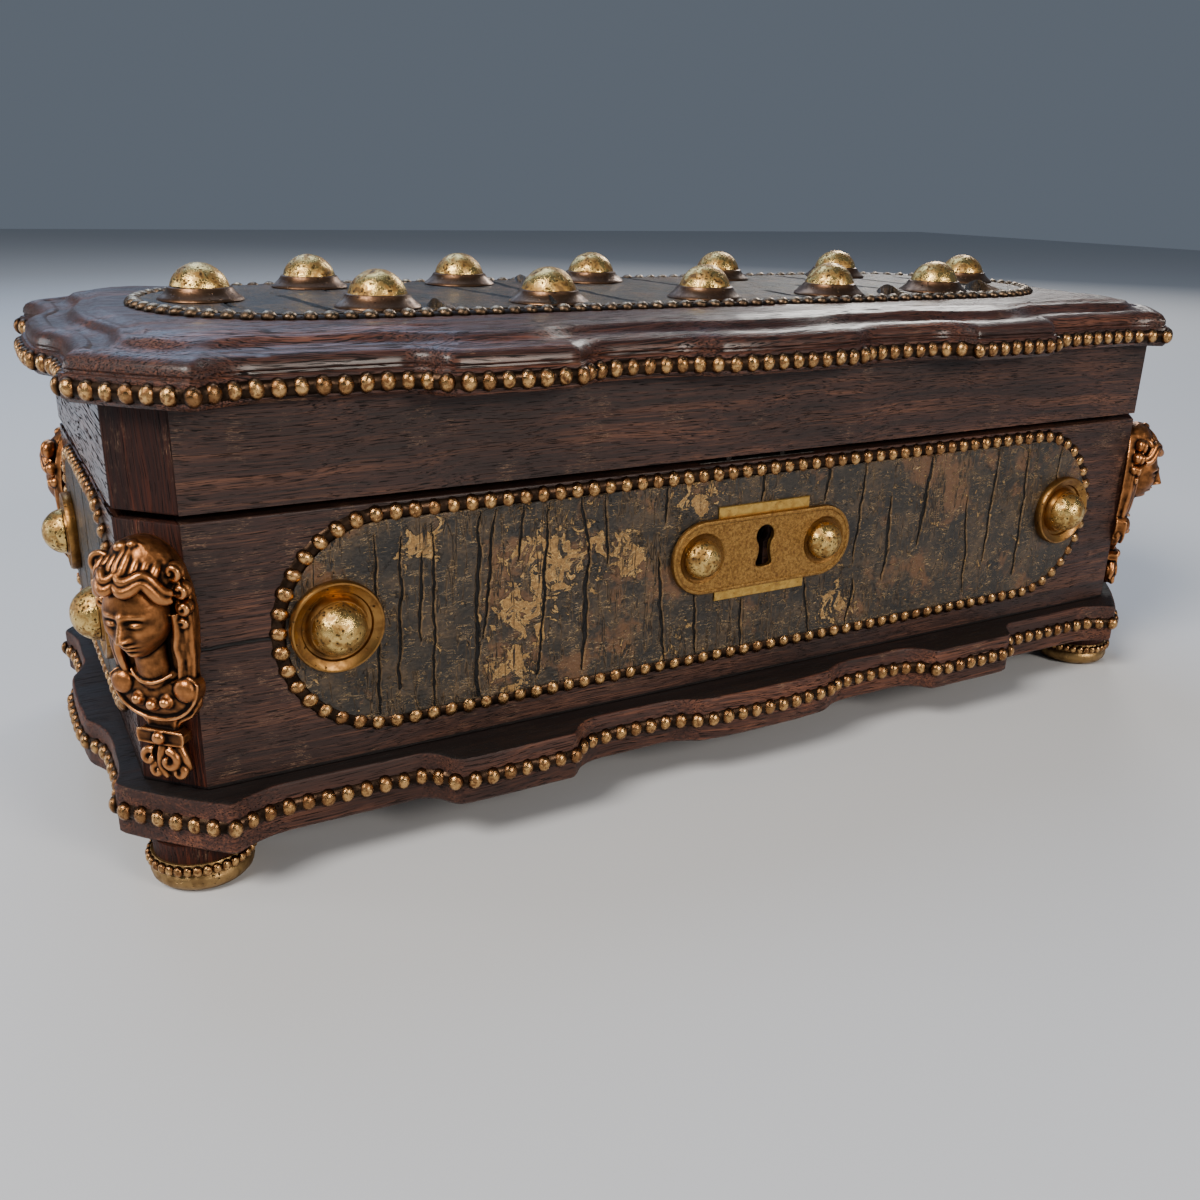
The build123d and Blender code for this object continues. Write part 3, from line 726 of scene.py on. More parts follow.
plinthProfile = [
    (0.5 * mm, plinthLow.z),
    (0.0, plinthLow.z + 0.6 * mm),
    (0.0, plinthHigh.z - 1.0 * mm),
    (0.3 * mm, plinthHigh.z - 0.35 * mm),
    (1.1 * mm, plinthHigh.z),
]
bandTop = slabLow.z + 5.2 * mm  # heights count from here, and None is the slab's underside
slabProfile = [(inset * mm, slabLow.z if height is None else bandTop + height * mm) for inset, height in (
    (0.6, None), (0.0, -4.5), (0.0, -0.4), (0.35, 0.0), (1.0, 0.1), (1.1, 0.5), (0.9, 0.9), (1.1, 1.9), (1.8, 2.9),
    (3.2, 3.6), (4.6, 3.9), (5.2, 3.75), (5.6, 3.4), (6.6, 3.25), (8.2, 3.5), (9.4, 4.1), (10.2, 4.9), (10.9, 5.5),
    (11.7, 5.75), (12.3, 5.65), (13.0, 5.75), (14.2, 6.1), (15.4, 6.4),
)]

finishPiece("plinthBoard", sweptSlab(plinthProfile), oakPlinth, "case", ["base_board"], 30)
finishPiece("lidSlab", sweptSlab(slabProfile, 0.22 * mm), oakSlab, "lid", ["lid_top"], 30)
print("slabs done")


# Carcass boards keep their nodes

boardEdge, metalEdge = 0.35 * mm, 0.1 * mm
paint = (
    (oakFront, boardEdge, ("case_front",)),
    (oakAlong, boardEdge, ("case_back", "lid_front", "lid_back")),
    (oakSide, boardEdge, ("case_left", "case_right", "lid_left", "lid_right")),
    (oakUpright, boardEdge, ("case_corner_posts", "lid_corner_posts")),
    (lockSteel, metalEdge, ("lock_case", "lock_cap", "lock_key_pin", "lock_bolt", "link_plate", "link_staples")),
    (padBrass, metalEdge, ("case_hinge_leaves", "lid_hinge_leaves", "hinge_pins")),
)
for material, softEdge, nodes in paint:
    for node in nodes:
        paintNode(node, material, softEdge)


# Lock plate: a stadium with a thin rim, two dishes and a keyhole with a flared foot

lockPlate = {  # in millimetres
    "half": (26.7, 9.15),
    "edge": (  # inset and height
        (0.0, 0.0), (0.0, 0.75), (0.2, 1.1), (0.55, 1.2), (0.95, 1.12), (1.15, 0.92), (1.5, 0.9),
    ),
    "dish": ((6.3, 0.9), (6.1, 0.72), (5.6, 0.5), (4.9, 0.42), (4.0, 0.42)),  # radius and height
    "dishAt": 18.3,
    "hole": ((0.3, 0.9, 1.0), (0.05, 0.7, 1.0), (0.0, 0.5, 0.5), (0.0, 0.0, 0.3)),  # growth, height and shade; the shade is painted, darker deeper into the keyhole
    "keyHead": (3.55, 2.6),  # height over the middle of the plate, and radius
    "keyFoot": ((1.62, 0.6), (1.72, -0.8), (2.05, -2.1), (2.4, -3.15), (2.35, -3.8), (1.7, -4.2), (0.0, -4.3)),
    "backHalf": (13.5, 11.8),
    "backEdge": ((0.0, 0.0), (0.0, 0.42), (0.18, 0.6)),
    "roundSteps": 40,
    "dishSteps": 48,
}


def keyholeRing(grow=0.0):
    high, radius = lockPlate["keyHead"]
    arc = [math.radians(90 - 10 * k) for k in range(14)]
    half = [(radius * math.cos(a), high + radius * math.sin(a)) for a in arc] + list(lockPlate["keyFoot"])
    ring = [Vector(p) for p in half] + [Vector((-x, y)) for x, y in reversed(half[1:-1])]
    out = []
    for i, point in enumerate(ring):
        run = (ring[(i + 1) % len(ring)] - ring[i - 1]).normalized()
        out.append(point + Vector((-run.y, run.x)) * grow)
    return out


def stadiumRing(half, inset):
    radius = half[1] - inset
    steps = lockPlate["roundSteps"]
    ring = []
    for side in (1, -1):
        for k in range(steps + 1):
            turn = math.pi * k / steps
            ring.append(Vector((side * (half[0] - half[1] + radius * math.sin(turn)), side * radius * math.cos(turn))))
    return ring


def circleRing(x, radius):
    turns = [2 * math.pi * k / lockPlate["dishSteps"] for k in range(lockPlate["dishSteps"])]
    return [Vector((x + radius * math.cos(t), radius * math.sin(t))) for t in turns]


def ringEdges(bm, ring, height, shade):  # the shade is painted light kept in the rise mask: below 1 it paints shade
    rise = bm.verts.layers.float["rise"]
    verts = [bm.verts.new((p.x * mm, p.y * mm, height * mm)) for p in ring]
    for vert in verts:
        vert[rise] = shade
    return closedLoop(bm, verts)


def fillFront(bm, outer, hole):
    bmesh.ops.triangle_fill(bm, use_beauty=True, use_dissolve=False, edges=outer + hole)


def seatPlate(name, node, bm, material):
    seat = faceMatrix((0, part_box(node)[1].y, nodeCentre(node).z), (0, -1, 0))
    bmesh.ops.transform(bm, matrix=seat, verts=bm.verts)
    finishPiece(name, bm, material, "case", [node], 30)


def platePiece(values):
    bm = bmesh.new()
    vertMasks(bm, "rise", "tone")
    # painted shade on the lower rings of the rim
    edge = [
        ringEdges(bm, stadiumRing(values["half"], inset), high, 0.62 if high < 0.8 else 1.0)
        for inset, high in values["edge"]
    ]
    bridgeAll(bm, edge)
    outer = list(edge[-1])
    for side in (-1, 1):
        # painted shade with dirt, darker towards the bottom of each dish
        loops = [
            ringEdges(bm, circleRing(side * values["dishAt"], r), high, 0.98 if high > 0.85 else 0.55 * high / 0.72)
            for r, high in values["dish"]
        ]
        bridgeAll(bm, loops)
        bmesh.ops.contextual_create(bm, geom=loops[-1])
        outer += loops[0]
    hole = [ringEdges(bm, keyholeRing(grow), high, shade) for grow, high, shade in values["hole"]]
    bridgeAll(bm, hole)
    fillFront(bm, outer, hole[0])
    seatPlate("lockPlate", "escutcheon_plate", bm, plateBrass)


def backplatePiece(values):
    low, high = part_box("escutcheon_backplate")
    thick = (high.y - low.y) / mm
    bm = bmesh.new()
    vertMasks(bm, "rise")
    loops = []
    for inset, high in values["backEdge"]:
        x, y = (half - inset for half in values["backHalf"])
        ring = [Vector(p) for p in ((x, y), (x, -y), (-x, -y), (-x, y))]
        loops.append(ringEdges(bm, ring, high * thick / values["backEdge"][-1][1], 1.0))
    bridgeAll(bm, loops)
    hole = [ringEdges(bm, keyholeRing(0.1), high, 1.0) for high in (thick, 0.0)]
    bridgeAll(bm, hole)
    fillFront(bm, loops[-1], hole[0])
    seatPlate("lockBackplate", "escutcheon_backplate", bm, stripBrass)


platePiece(lockPlate)
backplatePiece(lockPlate)
print("lock plate done")


# Hide panels: a dried, cracked skin

hideLooks = {
    "across": 0.25 * mm,  # cell of the grid across the cracks
    "along": 0.5 * mm,
    "depth": 0.55 * mm,
    "margin": 1.2 * mm,
    "ground": ((0.36, (0.006, 0.0052, 0.0045)), (0.5, (0.019, 0.0145, 0.0098)), (0.62, (0.050, 0.033, 0.0175))),
    "brown": (0.115, 0.052, 0.019),
    "flakeEdge": (0.010, 0.007, 0.005),
    "flake": ((0.665, (0.60, 0.38, 0.14)), (0.70, (0.24, 0.13, 0.042)), (0.78, (0.36, 0.205, 0.07))),
    "flank": (0.20, 0.115, 0.045),
    "split": (0.006, 0.0045, 0.0035),
    "thread": (0.60, 0.40, 0.19),
    "lip": (0.27, 0.155, 0.058),
    "crack": (0.003, 0.0022, 0.002),
}


def crackLines(shader):
    off, gape, near, rim = (readMask(shader, name) for name in ("off", "gape", "near", "rim"))
    edge = minus(absolute(off), gape)
    near = rampNode(near, (0.5, 0.0), (0.9, 1.0))
    line = times(rampNode(edge, (0.03, 1.0), (0.13, 0.0)), near)
    beside = times(rampNode(edge, (0.10, 0.0), (0.18, 1.0), (0.28, 0.7), (0.45, 0.0)), near)
    return larger(line, minus(1.0, rim)), beside


def hideMaterial(name, fleck, gloss, turn=(0, 0, 0), sheen=0.42, shade=1.0, relief=0.34):
    made, shader, place = newMaterial(name, **{"Specular IOR Level": sheen, "Coat Roughness": 0.2})
    place = mappedTo(place, turn=turn)
    looks = hideLooks
    crack, beside = crackLines(shader)
    worn = readMask(shader, "worn")
    cloud = noiseNode(place, 0.10, 6, 0.66)
    speck = noiseNode(place, (0.75, 1.0, 1.3), 6, 0.7)
    freckles = rampNode(speck, (0.36, (0.35, 0.35, 0.35)), (0.64, (2.1, 1.95, 1.75)))
    tone = mixColor(0.85, rampNode(cloud, *looks["ground"]), freckles, "MULTIPLY")
    brown = plus(noiseNode(place, 0.06, 6, 0.66), times(worn, 0.11))
    tone = mixColor(times(rampNode(brown, (0.545, 0.0), (0.61, 0.95)), 0.35 + 0.65 * fleck), tone, looks["brown"])
    wear = plus(noiseNode(place, 0.24, 7, 0.66, 1.3), times(worn, 0.22))  # flakes where the skin wears off
    bare = times(rampNode(wear, (0.655, 0.0), (0.665, 1.0)), fleck)
    edged = times(rampNode(wear, (0.60, 0.0), (0.645, 1.0)), fleck)
    tone = mixColor(times(edged, 0.85), tone, looks["flakeEdge"])
    dusty = rampNode(speck, (0.4, (0.4, 0.35, 0.3)), (0.6, (1.3, 1.25, 1.1)))
    tone = mixColor(bare, tone, mixColor(0.6, rampNode(wear, *looks["flake"]), dusty, "MULTIPLY"))
    thread = absolute(minus(noiseNode(place, (0.24, 1.0, 1.0), 4, 0.6, 0.6), 0.52))
    thread = rampNode(thread, (0.004, 1.0), (0.013, 0.0))
    thread = times(thread, rampNode(noiseNode(place, 0.3, 3), (0.47, 0.0), (0.55, 1.0)))
    seam = mappedTo(place, (0.28, 0.035, 0.035), shift=(7, 3, 1))
    seam = absolute(minus(noiseNode(seam, 1.0, 4, 0.58, 0.25), 0.5))
    where = rampNode(noiseNode(place, 0.11, 3), (0.44, 0.0), (0.52, 1.0))
    split = times(rampNode(seam, (0.006, 1.0), (0.016, 0.0)), where)
    flank = times(rampNode(seam, (0.012, 1.0), (0.034, 0.0)), where)
    lip = times(beside, rampNode(noiseNode(place, 0.6, 4), (0.4, 0.15), (0.58, 1.0)))
    tone = mixColor(times(flank, 0.55), tone, looks["flank"])
    tone = mixColor(split, tone, looks["split"])
    tone = mixColor(thread, tone, looks["thread"])
    tone = mixColor(times(lip, 0.3 + 0.35 * fleck), tone, looks["lip"])
    tone = mixColor(crack, tone, looks["crack"])
    # painted shade: a darker copy of the same hide
    if shade != 1.0:
        tone = mixColor(1.0, tone, (shade, shade, shade), "MULTIPLY")
    rough = plus(0.42 - gloss, times(larger(bare, crack), 0.3))
    filled(shader, **{"Base Color": tone, "Roughness": rough, "Coat Weight": 0.06 + 1.2 * gloss})
    height = times(speck, 0.9)
    for layer, weight in ((thread, 0.45), (cloud, 1.2), (edged, -0.5), (split, -1.2), (crack, -1.5)):
        height = plus(height, times(layer, weight))
    bumpInto(shader, height, relief * mm)
    return made


frontHide = hideMaterial("frontHide", 1.0, 0.0)
# the side panels are a painted-shade copy of the hide, half as bright
sideHide = hideMaterial("sideHide", 0.6, 0.0, (0, 0, quarter), 0.12, 0.5)
topHide = hideMaterial("topHide", 0.3, 0.04, sheen=0.28, relief=0.5)

# A crack: its place along the panel, its lower and upper end, lean, and half width
frontCracks = [
    (-98.0, 32, 72, 0.5, 0.30), (-93.0, 37, 71, 1.5, 0.35), (-88.3, 47, 67, 1.5, 0.45), (-85.5, 30, 73, 0.3, 0.30),
    (-75.4, 28, 76, 1.0, 0.60), (-72.6, 45, 75, 3.5, 0.40), (-65.0, 62, 76, 1.5, 0.35), (-59.6, 34, 75, 2.0, 0.42),
    (-49.2, 62, 75, -2.5, 0.45), (-49.0, 33, 63, 1.2, 0.75), (-43.8, 58, 75, -1.0, 0.35), (-28.6, 31, 58, -2.5, 0.55),
    (-27.9, 66, 77, 0.6, 0.35), (-18.6, 30, 49, -2.0, 0.45), (-4.8, 31, 44, -1.2, 0.5), (-0.7, 68, 77, 0.0, 0.45),
    (15.8, 30, 47, -3.0, 0.5), (19.4, 66, 77, 0.6, 0.55), (30.3, 31, 44, 1.0, 0.6), (30.8, 48, 76, 1.5, 0.45),
    (41.4, 42, 65, 0.5, 0.7), (53.4, 50, 76, 2.4, 1.0), (70.6, 33, 62, -3.0, 0.45), (78.6, 42, 76, 0.6, 0.6),
    (91.1, 36, 73, -0.4, 0.6), (104.0, 58, 74, 1.0, 0.3),
]
sideCracks = [
    (-30.0, 36, 66, 2.0, 0.5), (-14.0, 30, 74, -1.0, 0.6), (3.0, 40, 76, 1.5, 0.5), (16.0, 28, 60, 0.5, 0.6),
    (31.0, 38, 70, -2.0, 0.5),
]
topCracks = [
    (-112.0, -18, 16, 3.0, 0.4), (-96.0, -34, 4, -2.0, 0.5), (-83.0, 12, 35, 1.5, 0.3), (-70.0, -8, 34, 3.0, 0.45),
    (-47.0, -35, 20, -4.0, 0.55), (-33.0, 4, 31, 2.5, 0.3), (-20.0, -30, 10, 2.0, 0.4), (16.0, -12, 35, -3.0, 0.5),
    (31.0, -34, -12, 1.5, 0.35), (52.0, -35, 0, 2.0, 0.45), (70.0, -20, 30, -2.0, 0.45), (91.0, -6, 33, -2.5, 0.3),
    (108.0, -22, 20, 2.0, 0.4),
]
wornPatches = [  # middle and radius
    (-56.0, 62.0, 17.0), (-64.0, 50.0, 13.0), (-88.0, 69.0, 8.0), (27.0, 38.0, 8.0), (-20.0, 71.0, 10.0),
    (-68.0, 37.0, 10.0), (-38.0, 60.0, 8.0),
]
topLifts = [  # torn flaps: corner, width and rise
    (-72.0, -30.0, 11.0, 2.2), (-45.0, -30.0, 16.0, 3.0), (60.0, -30.0, 10.0, 2.6), (97.0, -27.0, 12.0, 3.2),
    (-24.0, 27.0, 10.0, 2.2),
]
panels["front"].update(material=frontHide, cracks=frontCracks, patches=wornPatches)
for side in ("left", "right"):
    panels[side].update(material=sideHide, cracks=sideCracks)
# On the lid the dark of a crack fills the whole band round it, and a coarser mesh is enough
panels["top"].update(material=topHide, cracks=topCracks, lifts=topLifts, gape=10.0, mesh=1.25)


def nearestCrack(u, v, cracks):  # distance to the crack's middle, and its half width there
    best = (1.6, 0.0)
    for x, low, high, lean, half in cracks:
        if abs(u - x) > 5 or not low - 1 < v < high + 1:
            continue
        t = (v - low) / (high - low)
        middle = x + lean * (t - 0.5) + 0.7 * noise.noise(Vector((x, v * 0.16, 3.1)))
        middle += 0.25 * noise.noise(Vector((x, v * 0.6, 7.7))) + 0.12 * noise.noise(Vector((x, v * 1.3, 1.7)))
        if high < 70 or low > 40:
            taper = max(0.0, min(1.0, 3.2 * min(t, 1 - t) + 0.1))
        else:  # a crack that runs out at the panel's edge
            taper = max(0.1, min(1.0, 4 * (1 - t)))
        width = half * taper * (0.60 + 0.42 * noise.noise(Vector((x, v * 0.8, 5.5))))
        if not 0 <= t <= 1:
            width = -0.2
        if abs(u - middle) < abs(best[0]):
            best = (u - middle, width)
    return best


def inKeyhole(x, z):
    high, radius = lockPlate["keyHead"]
    return math.hypot(x, z - high) < radius + 0.7 or (abs(x) < 3.1 and -5.0 < z < high)


def hidePanel(name, panel, seed):
    values = hideLooks
    long, wide = (half - values["margin"] for half in panel["half"])
    cells = ((long, values["across"]), (wide, values["along"]))
    columns, rows = (int(2 * length / step / panel.get("mesh", 1.0)) for length, step in cells)
    lift = 0.0 if panel["body"] == "lid" else panelLevel / mm  # cracks of the case are read from the floor
    bm = bmesh.new()
    worn, off, gape, near, rim = vertMasks(bm, "worn", "off", "gape", "near", "rim")
    bmesh.ops.create_grid(bm, x_segments=columns, y_segments=rows, size=1.0)
    for vert in bm.verts:
        v = vert.co.y * wide
        u = vert.co.x * (long - wide + math.sqrt(max(wide * wide - v * v, 0.0)))
        a, b = u / mm, v / mm + lift
        away, width = nearestCrack(a, b, panel["cracks"])
        edge = abs(away) - width
        depth = max(0.0, min(1.0, (0.24 - edge) / 0.26)) if width > 0 else 0.0
        swell = 0.22 * noise.noise(Vector((a * 0.06, b * 0.06, seed)))
        swell += 0.10 * noise.noise(Vector((a * 0.22, b * 0.16, seed + 5)))
        raised = 0.12 * max(0.0, 1.0 - abs(edge - 0.45) / 0.35) if width > 0 else 0.0
        curl = 0.0
        for px, pv, reach, rise in panel.get("lifts", ()):  # a dried flap standing up along a torn edge
            t = (a - px) / reach
            if 0 < t < 1 and abs(b - pv) < 5:
                curl = max(curl, rise * (1 - t) ** 1.6 * (1 - ((b - pv) / 5) ** 2))
        height = hideThick + (swell + raised + curl) * mm - depth * values["depth"]
        vert[off], vert[gape], vert[near], vert[rim] = away, panel.get("gape", width), float(abs(away) < 1.2), 1.0
        bare = [1.0 - math.hypot(a - px, b - pv) / radius for px, pv, radius in panel.get("patches", ())]
        vert[worn] = max([0.0] + bare)
        vert.co = (u, v, max(height, 0.12 * mm))
    border = [e for e in bm.edges if e.is_boundary]
    for vert in madeVerts(bmesh.ops.extrude_edge_only(bm, edges=border)):
        vert.co.z = 0.0
        vert[rim] = 0.0
    bmesh.ops.transform(bm, matrix=panel["seat"], verts=bm.verts)
    if name == "front":  # the keyhole goes through the hide
        level = nodeCentre("escutcheon_plate").z / mm
        gone = [v for v in bm.verts if inKeyhole(v.co.x / mm, v.co.z / mm - level)]
        bmesh.ops.delete(bm, geom=gone, context="VERTS")
    finishPiece(name + "HidePanel", bm, panel["material"], panel["body"], [panel["node"]], smoothAngle=0)


for seed, (side, panel) in enumerate(panels.items(), 1):
    hidePanel(side, panel, seed)
print("hide done")


# Studs, washers, rosettes and feet are turned

def partsOf(node):
    bm = bmesh.new()
    bm.from_mesh(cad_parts[node].data)
    bmesh.ops.remove_doubles(bm, verts=bm.verts, dist=0.000005)
    groups = []
    left = set(bm.verts)
    while left:
        stack = [left.pop()]
        group = list(stack)
        while stack:
            for edge in stack.pop().link_edges:
                for vert in edge.verts:
                    if vert in left:
                        left.remove(vert)
                        stack.append(vert)
                        group.append(vert)
        low = Vector([min(v.co[i] for v in group) for i in range(3)])
        high = Vector([max(v.co[i] for v in group) for i in range(3)])
        groups.append((low, high))
    bm.free()
    return sorted(groups, key=lambda group: [round(c / mm) for c in group[0]])  # the set's order is not fixed


def outwardOf(middle):
    if middle.z > lidTopZ:
        return Vector((0, 0, 1)), Vector((0, 1, 0))
    if middle.y < -halfDepth:
        return Vector((0, -1, 0)), Vector((0, 0, 1))
    return Vector((math.copysign(1, middle.x), 0, 0)), Vector((0, 0, 1))


dome = {"lid": (6.5 * mm, 5.15 * mm), "panel": (5.7 * mm, 5.0 * mm), "steps": 48, "dent": 0.16 * mm, "rows": 14}


def domeProfile(radius, height):
    sphere = (radius**2 + height**2) / (2 * height)
    start = math.asin(radius / sphere) if height < radius else math.pi - math.asin(radius / sphere)
    points = [(radius * 0.96, -0.1 * mm)]
    for k in range(dome["rows"]):
        turn = start * (1 - k / dome["rows"])
        points.append((sphere * math.sin(turn), height - sphere + sphere * math.cos(turn)))
    return points + [(0.0, height)]


def placed(low, high):
    middle = (low + high) / 2
    out, up = outwardOf(middle)
    base = Vector([high[i] if out[i] < 0 else low[i] if out[i] > 0 else middle[i] for i in range(3)])
    return faceMatrix(base, out, up)


def turnedSet(name, node, body, material, profile, steps, dent=0.0):
    bm = bmesh.new()
    template = turnedMesh(profile, steps)
    for i, (low, high) in enumerate(partsOf(node)):
        matrix = placed(low, high)
        leans = [Matrix.Rotation(rng.uniform(-0.03, 0.03), 4, axis) for axis in "XY"]
        made = addMesh(bm, template, matrix @ (leans[0] @ leans[1]) if dent else matrix)
        if dent:
            centre = matrix.translation
            for vert in made:
                away = vert.co - centre
                dip = noise.noise(away * 420 + Vector((i * 9.1, 0, 0)))
                dip += 0.6 * noise.noise(away * 1100 + Vector((i * 5.3, 2, 0)))
                vert.co += away.normalized() * min(0.0, dip) * dent
    finishPiece(name, bm, material, body, [node], smoothAngle=40)


def inMm(*points):
    return [(radius * mm, height * mm) for radius, height in points]


washerLow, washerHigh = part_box("lid_stud_washers")
washerHeight = washerHigh.z - washerLow.z
washerProfile = inMm(
    (9.2, 0.0), (9.45, 0.2), (9.3, 0.5), (8.8, 0.85), (8.2, 1.35), (7.6, 1.9), (7.2, 2.45), (7.0, 2.85),
) + [(6.65 * mm, washerHeight), (0.0, washerHeight)]
rosetteProfile = inMm(
    (9.7, 0.0), (9.85, 0.9), (9.8, 1.7), (9.55, 2.1), (9.2, 2.15), (8.9, 1.95), (8.2, 1.6), (7.5, 1.35), (7.2, 0.8),
    (6.5, 0.6), (6.2, 1.6), (5.9, 2.4), (0.0, 2.6),
)
smallStudProfile = inMm(
    (4.6, -0.75), (4.75, -0.3), (4.7, 0.3), (4.5, 0.95), (4.1, 1.6), (3.5, 2.2), (2.7, 2.7), (1.8, 3.05), (0.9, 3.22),
    (0.0, 3.28),
)
for name, node, body, size in (("lidStuds", "lid_studs", "lid", "lid"), ("panelStuds", "panel_studs", "case", "panel")):
    turnedSet(name, node, body, pittedBrass, domeProfile(*dome[size]), dome["steps"], dome["dent"])
turnedSet("lidWashers", "lid_stud_washers", "lid", washerBrass, washerProfile, 48)
turnedSet("panelRosettes", "panel_rosettes", "case", turnedBrass, rosetteProfile, 64)
turnedSet("escutcheonStuds", "escutcheon_studs", "case", pittedBrass, smallStudProfile, 40)

neckLow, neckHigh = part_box("foot_necks")
ringLow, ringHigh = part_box("foot_rings")
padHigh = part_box("foot_pads")[1]
footCentres = [(low + high) / 2 for low, high in partsOf("foot_pads")]
footSteps = 56
footRing = {"pearls": 34, "radius": 10.3 * mm, "size": 0.62}


def turnedFeet(name, node, material, profile):
    bm = bmesh.new()
    template = turnedMesh(profile, footSteps)
    for centre in footCentres:
        addMesh(bm, template, Matrix.Translation((centre.x, centre.y, 0)))
    finishPiece(name, bm, material, "case", [node], smoothAngle=40)


turnedFeet("footNecks", "foot_necks", oakUpright, [
    (0.0, neckLow.z), (9.6 * mm, neckLow.z), (9.6 * mm, neckLow.z + 1.4 * mm), (9.9 * mm, neckHigh.z),
    (0.0, neckHigh.z),
])
padProfile = inMm((0.0, 0.0), (8.2, 0.0), (9.4, 0.5), (10.3, 1.5), (10.6, 2.6), (10.4, 3.6))
turnedFeet("footPads", "foot_pads", padBrass, padProfile + [(9.8 * mm, padHigh.z), (0.0, padHigh.z)])
turnedFeet("footRingBands", "foot_rings", padBrass, [
    (0.0, ringLow.z), (10.1 * mm, ringLow.z), (10.3 * mm, ringLow.z + 0.3 * mm), (10.3 * mm, ringHigh.z - 0.3 * mm),
    (10.1 * mm, ringHigh.z), (0.0, ringHigh.z),
])
ringMatrices = []
for centre in footCentres:
    for k in range(footRing["pearls"]):
        turn = 2 * math.pi * k / footRing["pearls"]
        out = Vector((math.cos(turn), math.sin(turn), 0))
        place = Vector((centre.x, centre.y, (ringLow.z + ringHigh.z) / 2)) + out * footRing["radius"]
        ringMatrices.append(faceMatrix(place, out))
pearlsAt("footRingPearls", ringMatrices, "case", [], footRing["size"])
print("turned pieces done")


# Corner masks: a cast head with waved hair over a collar, a clasp and a leaf

maskForm = {
    "foot": 2.4 * mm,  # above the bottom of the case
    "voxel": 0.21,
    "head": (-0.3, 36.5, 4.5),
    "size": 1.12,
    "radii": (5.7, 7.6, 5.7),
    "turn": 4,
    "nod": 4,
}


def pull(value, centre, width):
    return math.exp(-(((value - centre) / width) ** 2))


# Forms of the face: rise, place and width across, place and width up, and how far the form bows
faceForms = (
    (-0.80, 2.1, 1.35, 0.15, 0.95, 0.0),  # sockets, brows, eyes and lids
    (0.42, 2.0, 1.9, 1.35, 0.5, 0.0),
    (0.78, 2.2, 0.95, -0.05, 0.55, 0.0),
    (-0.30, 2.2, 1.1, 0.62, 0.16, -0.12),
    (-0.22, 2.2, 1.0, -0.62, 0.15, 0.10),
    (0.72, 1.0, 0.42, -2.55, 0.42, 0.0),  # nostrils, and the groove under the nose
    (-0.22, 0.0, 0.3, -3.5, 0.35, 0.0),
    (0.75, 0.0, 1.35, -4.0, 0.36, 0.05),  # lips
    (-0.62, 0.0, 1.45, -4.36, 0.13, 0.03),
    (0.72, 0.0, 1.15, -4.78, 0.36, 0.0),
    (-0.35, 0.0, 1.3, -5.45, 0.32, 0.0),  # chin and cheeks
    (0.65, 0.0, 1.35, -6.45, 0.75, 0.0),
    (0.35, 3.1, 1.4, -1.7, 1.4, 0.0),
)


def faceRise(x, y):
    a = abs(x)
    along = min(max((1.3 - y) / 3.9, 0.0), 1.0)
    rise = (0.55 + 1.75 * along**1.3) * pull(a, 0.0, 0.60 + 0.38 * along)  # the nose
    if y > 1.3:
        rise *= pull(y, 1.3, 0.9)
    if y < -2.6:
        rise *= pull(y, -2.6, 0.42)
    for amount, side, width, level, tall, bow in faceForms:
        rise += amount * pull(a, side, width) * pull(y, level + bow * (a - side) ** 2, tall)
    return rise


def headMesh(values):
    bm = bmesh.new()
    bmesh.ops.create_icosphere(bm, subdivisions=6, radius=1.0)
    rx, ry, rz = values["radii"]
    for vert in bm.verts:
        n = vert.co.copy()
        jaw = 1.0 - 0.30 * min(max((-n.y - 0.15) / 0.85, 0.0), 1.0) ** 1.4
        flat = 1.0 if n.z < 0 else 1.0 - 0.10 * n.z * n.z
        x, y, z = n.x * rx * jaw, n.y * ry, n.z * rz * flat
        if n.z > 0:
            z += faceRise(x, y) * min(n.z * 2.2, 1.0)
        vert.co = Vector((x, y, z)) * values["size"]
    return meshFrom(bm, "head")


def ball(bm, centre, radii):
    matrix = Matrix.Translation(centre) @ Matrix.Diagonal((*radii, 1))
    bmesh.ops.create_icosphere(bm, subdivisions=3, radius=1.0, matrix=matrix)


def tube(bm, points, radii, sides=4):
    data = bpy.data.curves.new("lock", "CURVE")
    data.dimensions = "3D"
    data.bevel_depth = 1.0
    data.bevel_resolution = sides
    data.resolution_u = 6
    data.use_fill_caps = True
    spline = data.splines.new("NURBS")
    spline.points.add(len(points) - 1)
    spline.use_endpoint_u = True
    spline.order_u = min(4, len(points))
    for i, (point, place) in enumerate(zip(spline.points, points)):
        point.co = (*place, 1)
        t = i / (len(points) - 1) * (len(radii) - 1)
        k = min(int(t), len(radii) - 2)
        point.radius = radii[k] + (radii[k + 1] - radii[k]) * (t - k)
    holder = bpy.data.objects.new("lock", data)
    bm.from_mesh(holder.to_mesh())
    holder.to_mesh_clear()
    bpy.data.objects.remove(holder)
    bpy.data.curves.remove(data)


def plate(bm, outline, low, high, rounds=1):  # its corners are cut off that many times
    for _ in range(rounds):
        pairs = list(zip(outline, outline[1:] + outline[:1]))
        outline = [(a[0] + (b[0] - a[0]) * t, a[1] + (b[1] - a[1]) * t) for a, b in pairs for t in (0.25, 0.75)]
    face = bm.faces.new([bm.verts.new((x, y, low)) for x, y in outline])
    made = bmesh.ops.extrude_face_region(bm, geom=[face])
    bmesh.ops.translate(bm, vec=(0, 0, high - low), verts=madeVerts(made))


def both(points):
    return list(points) + [(-x, y) for x, y in reversed(points) if x]


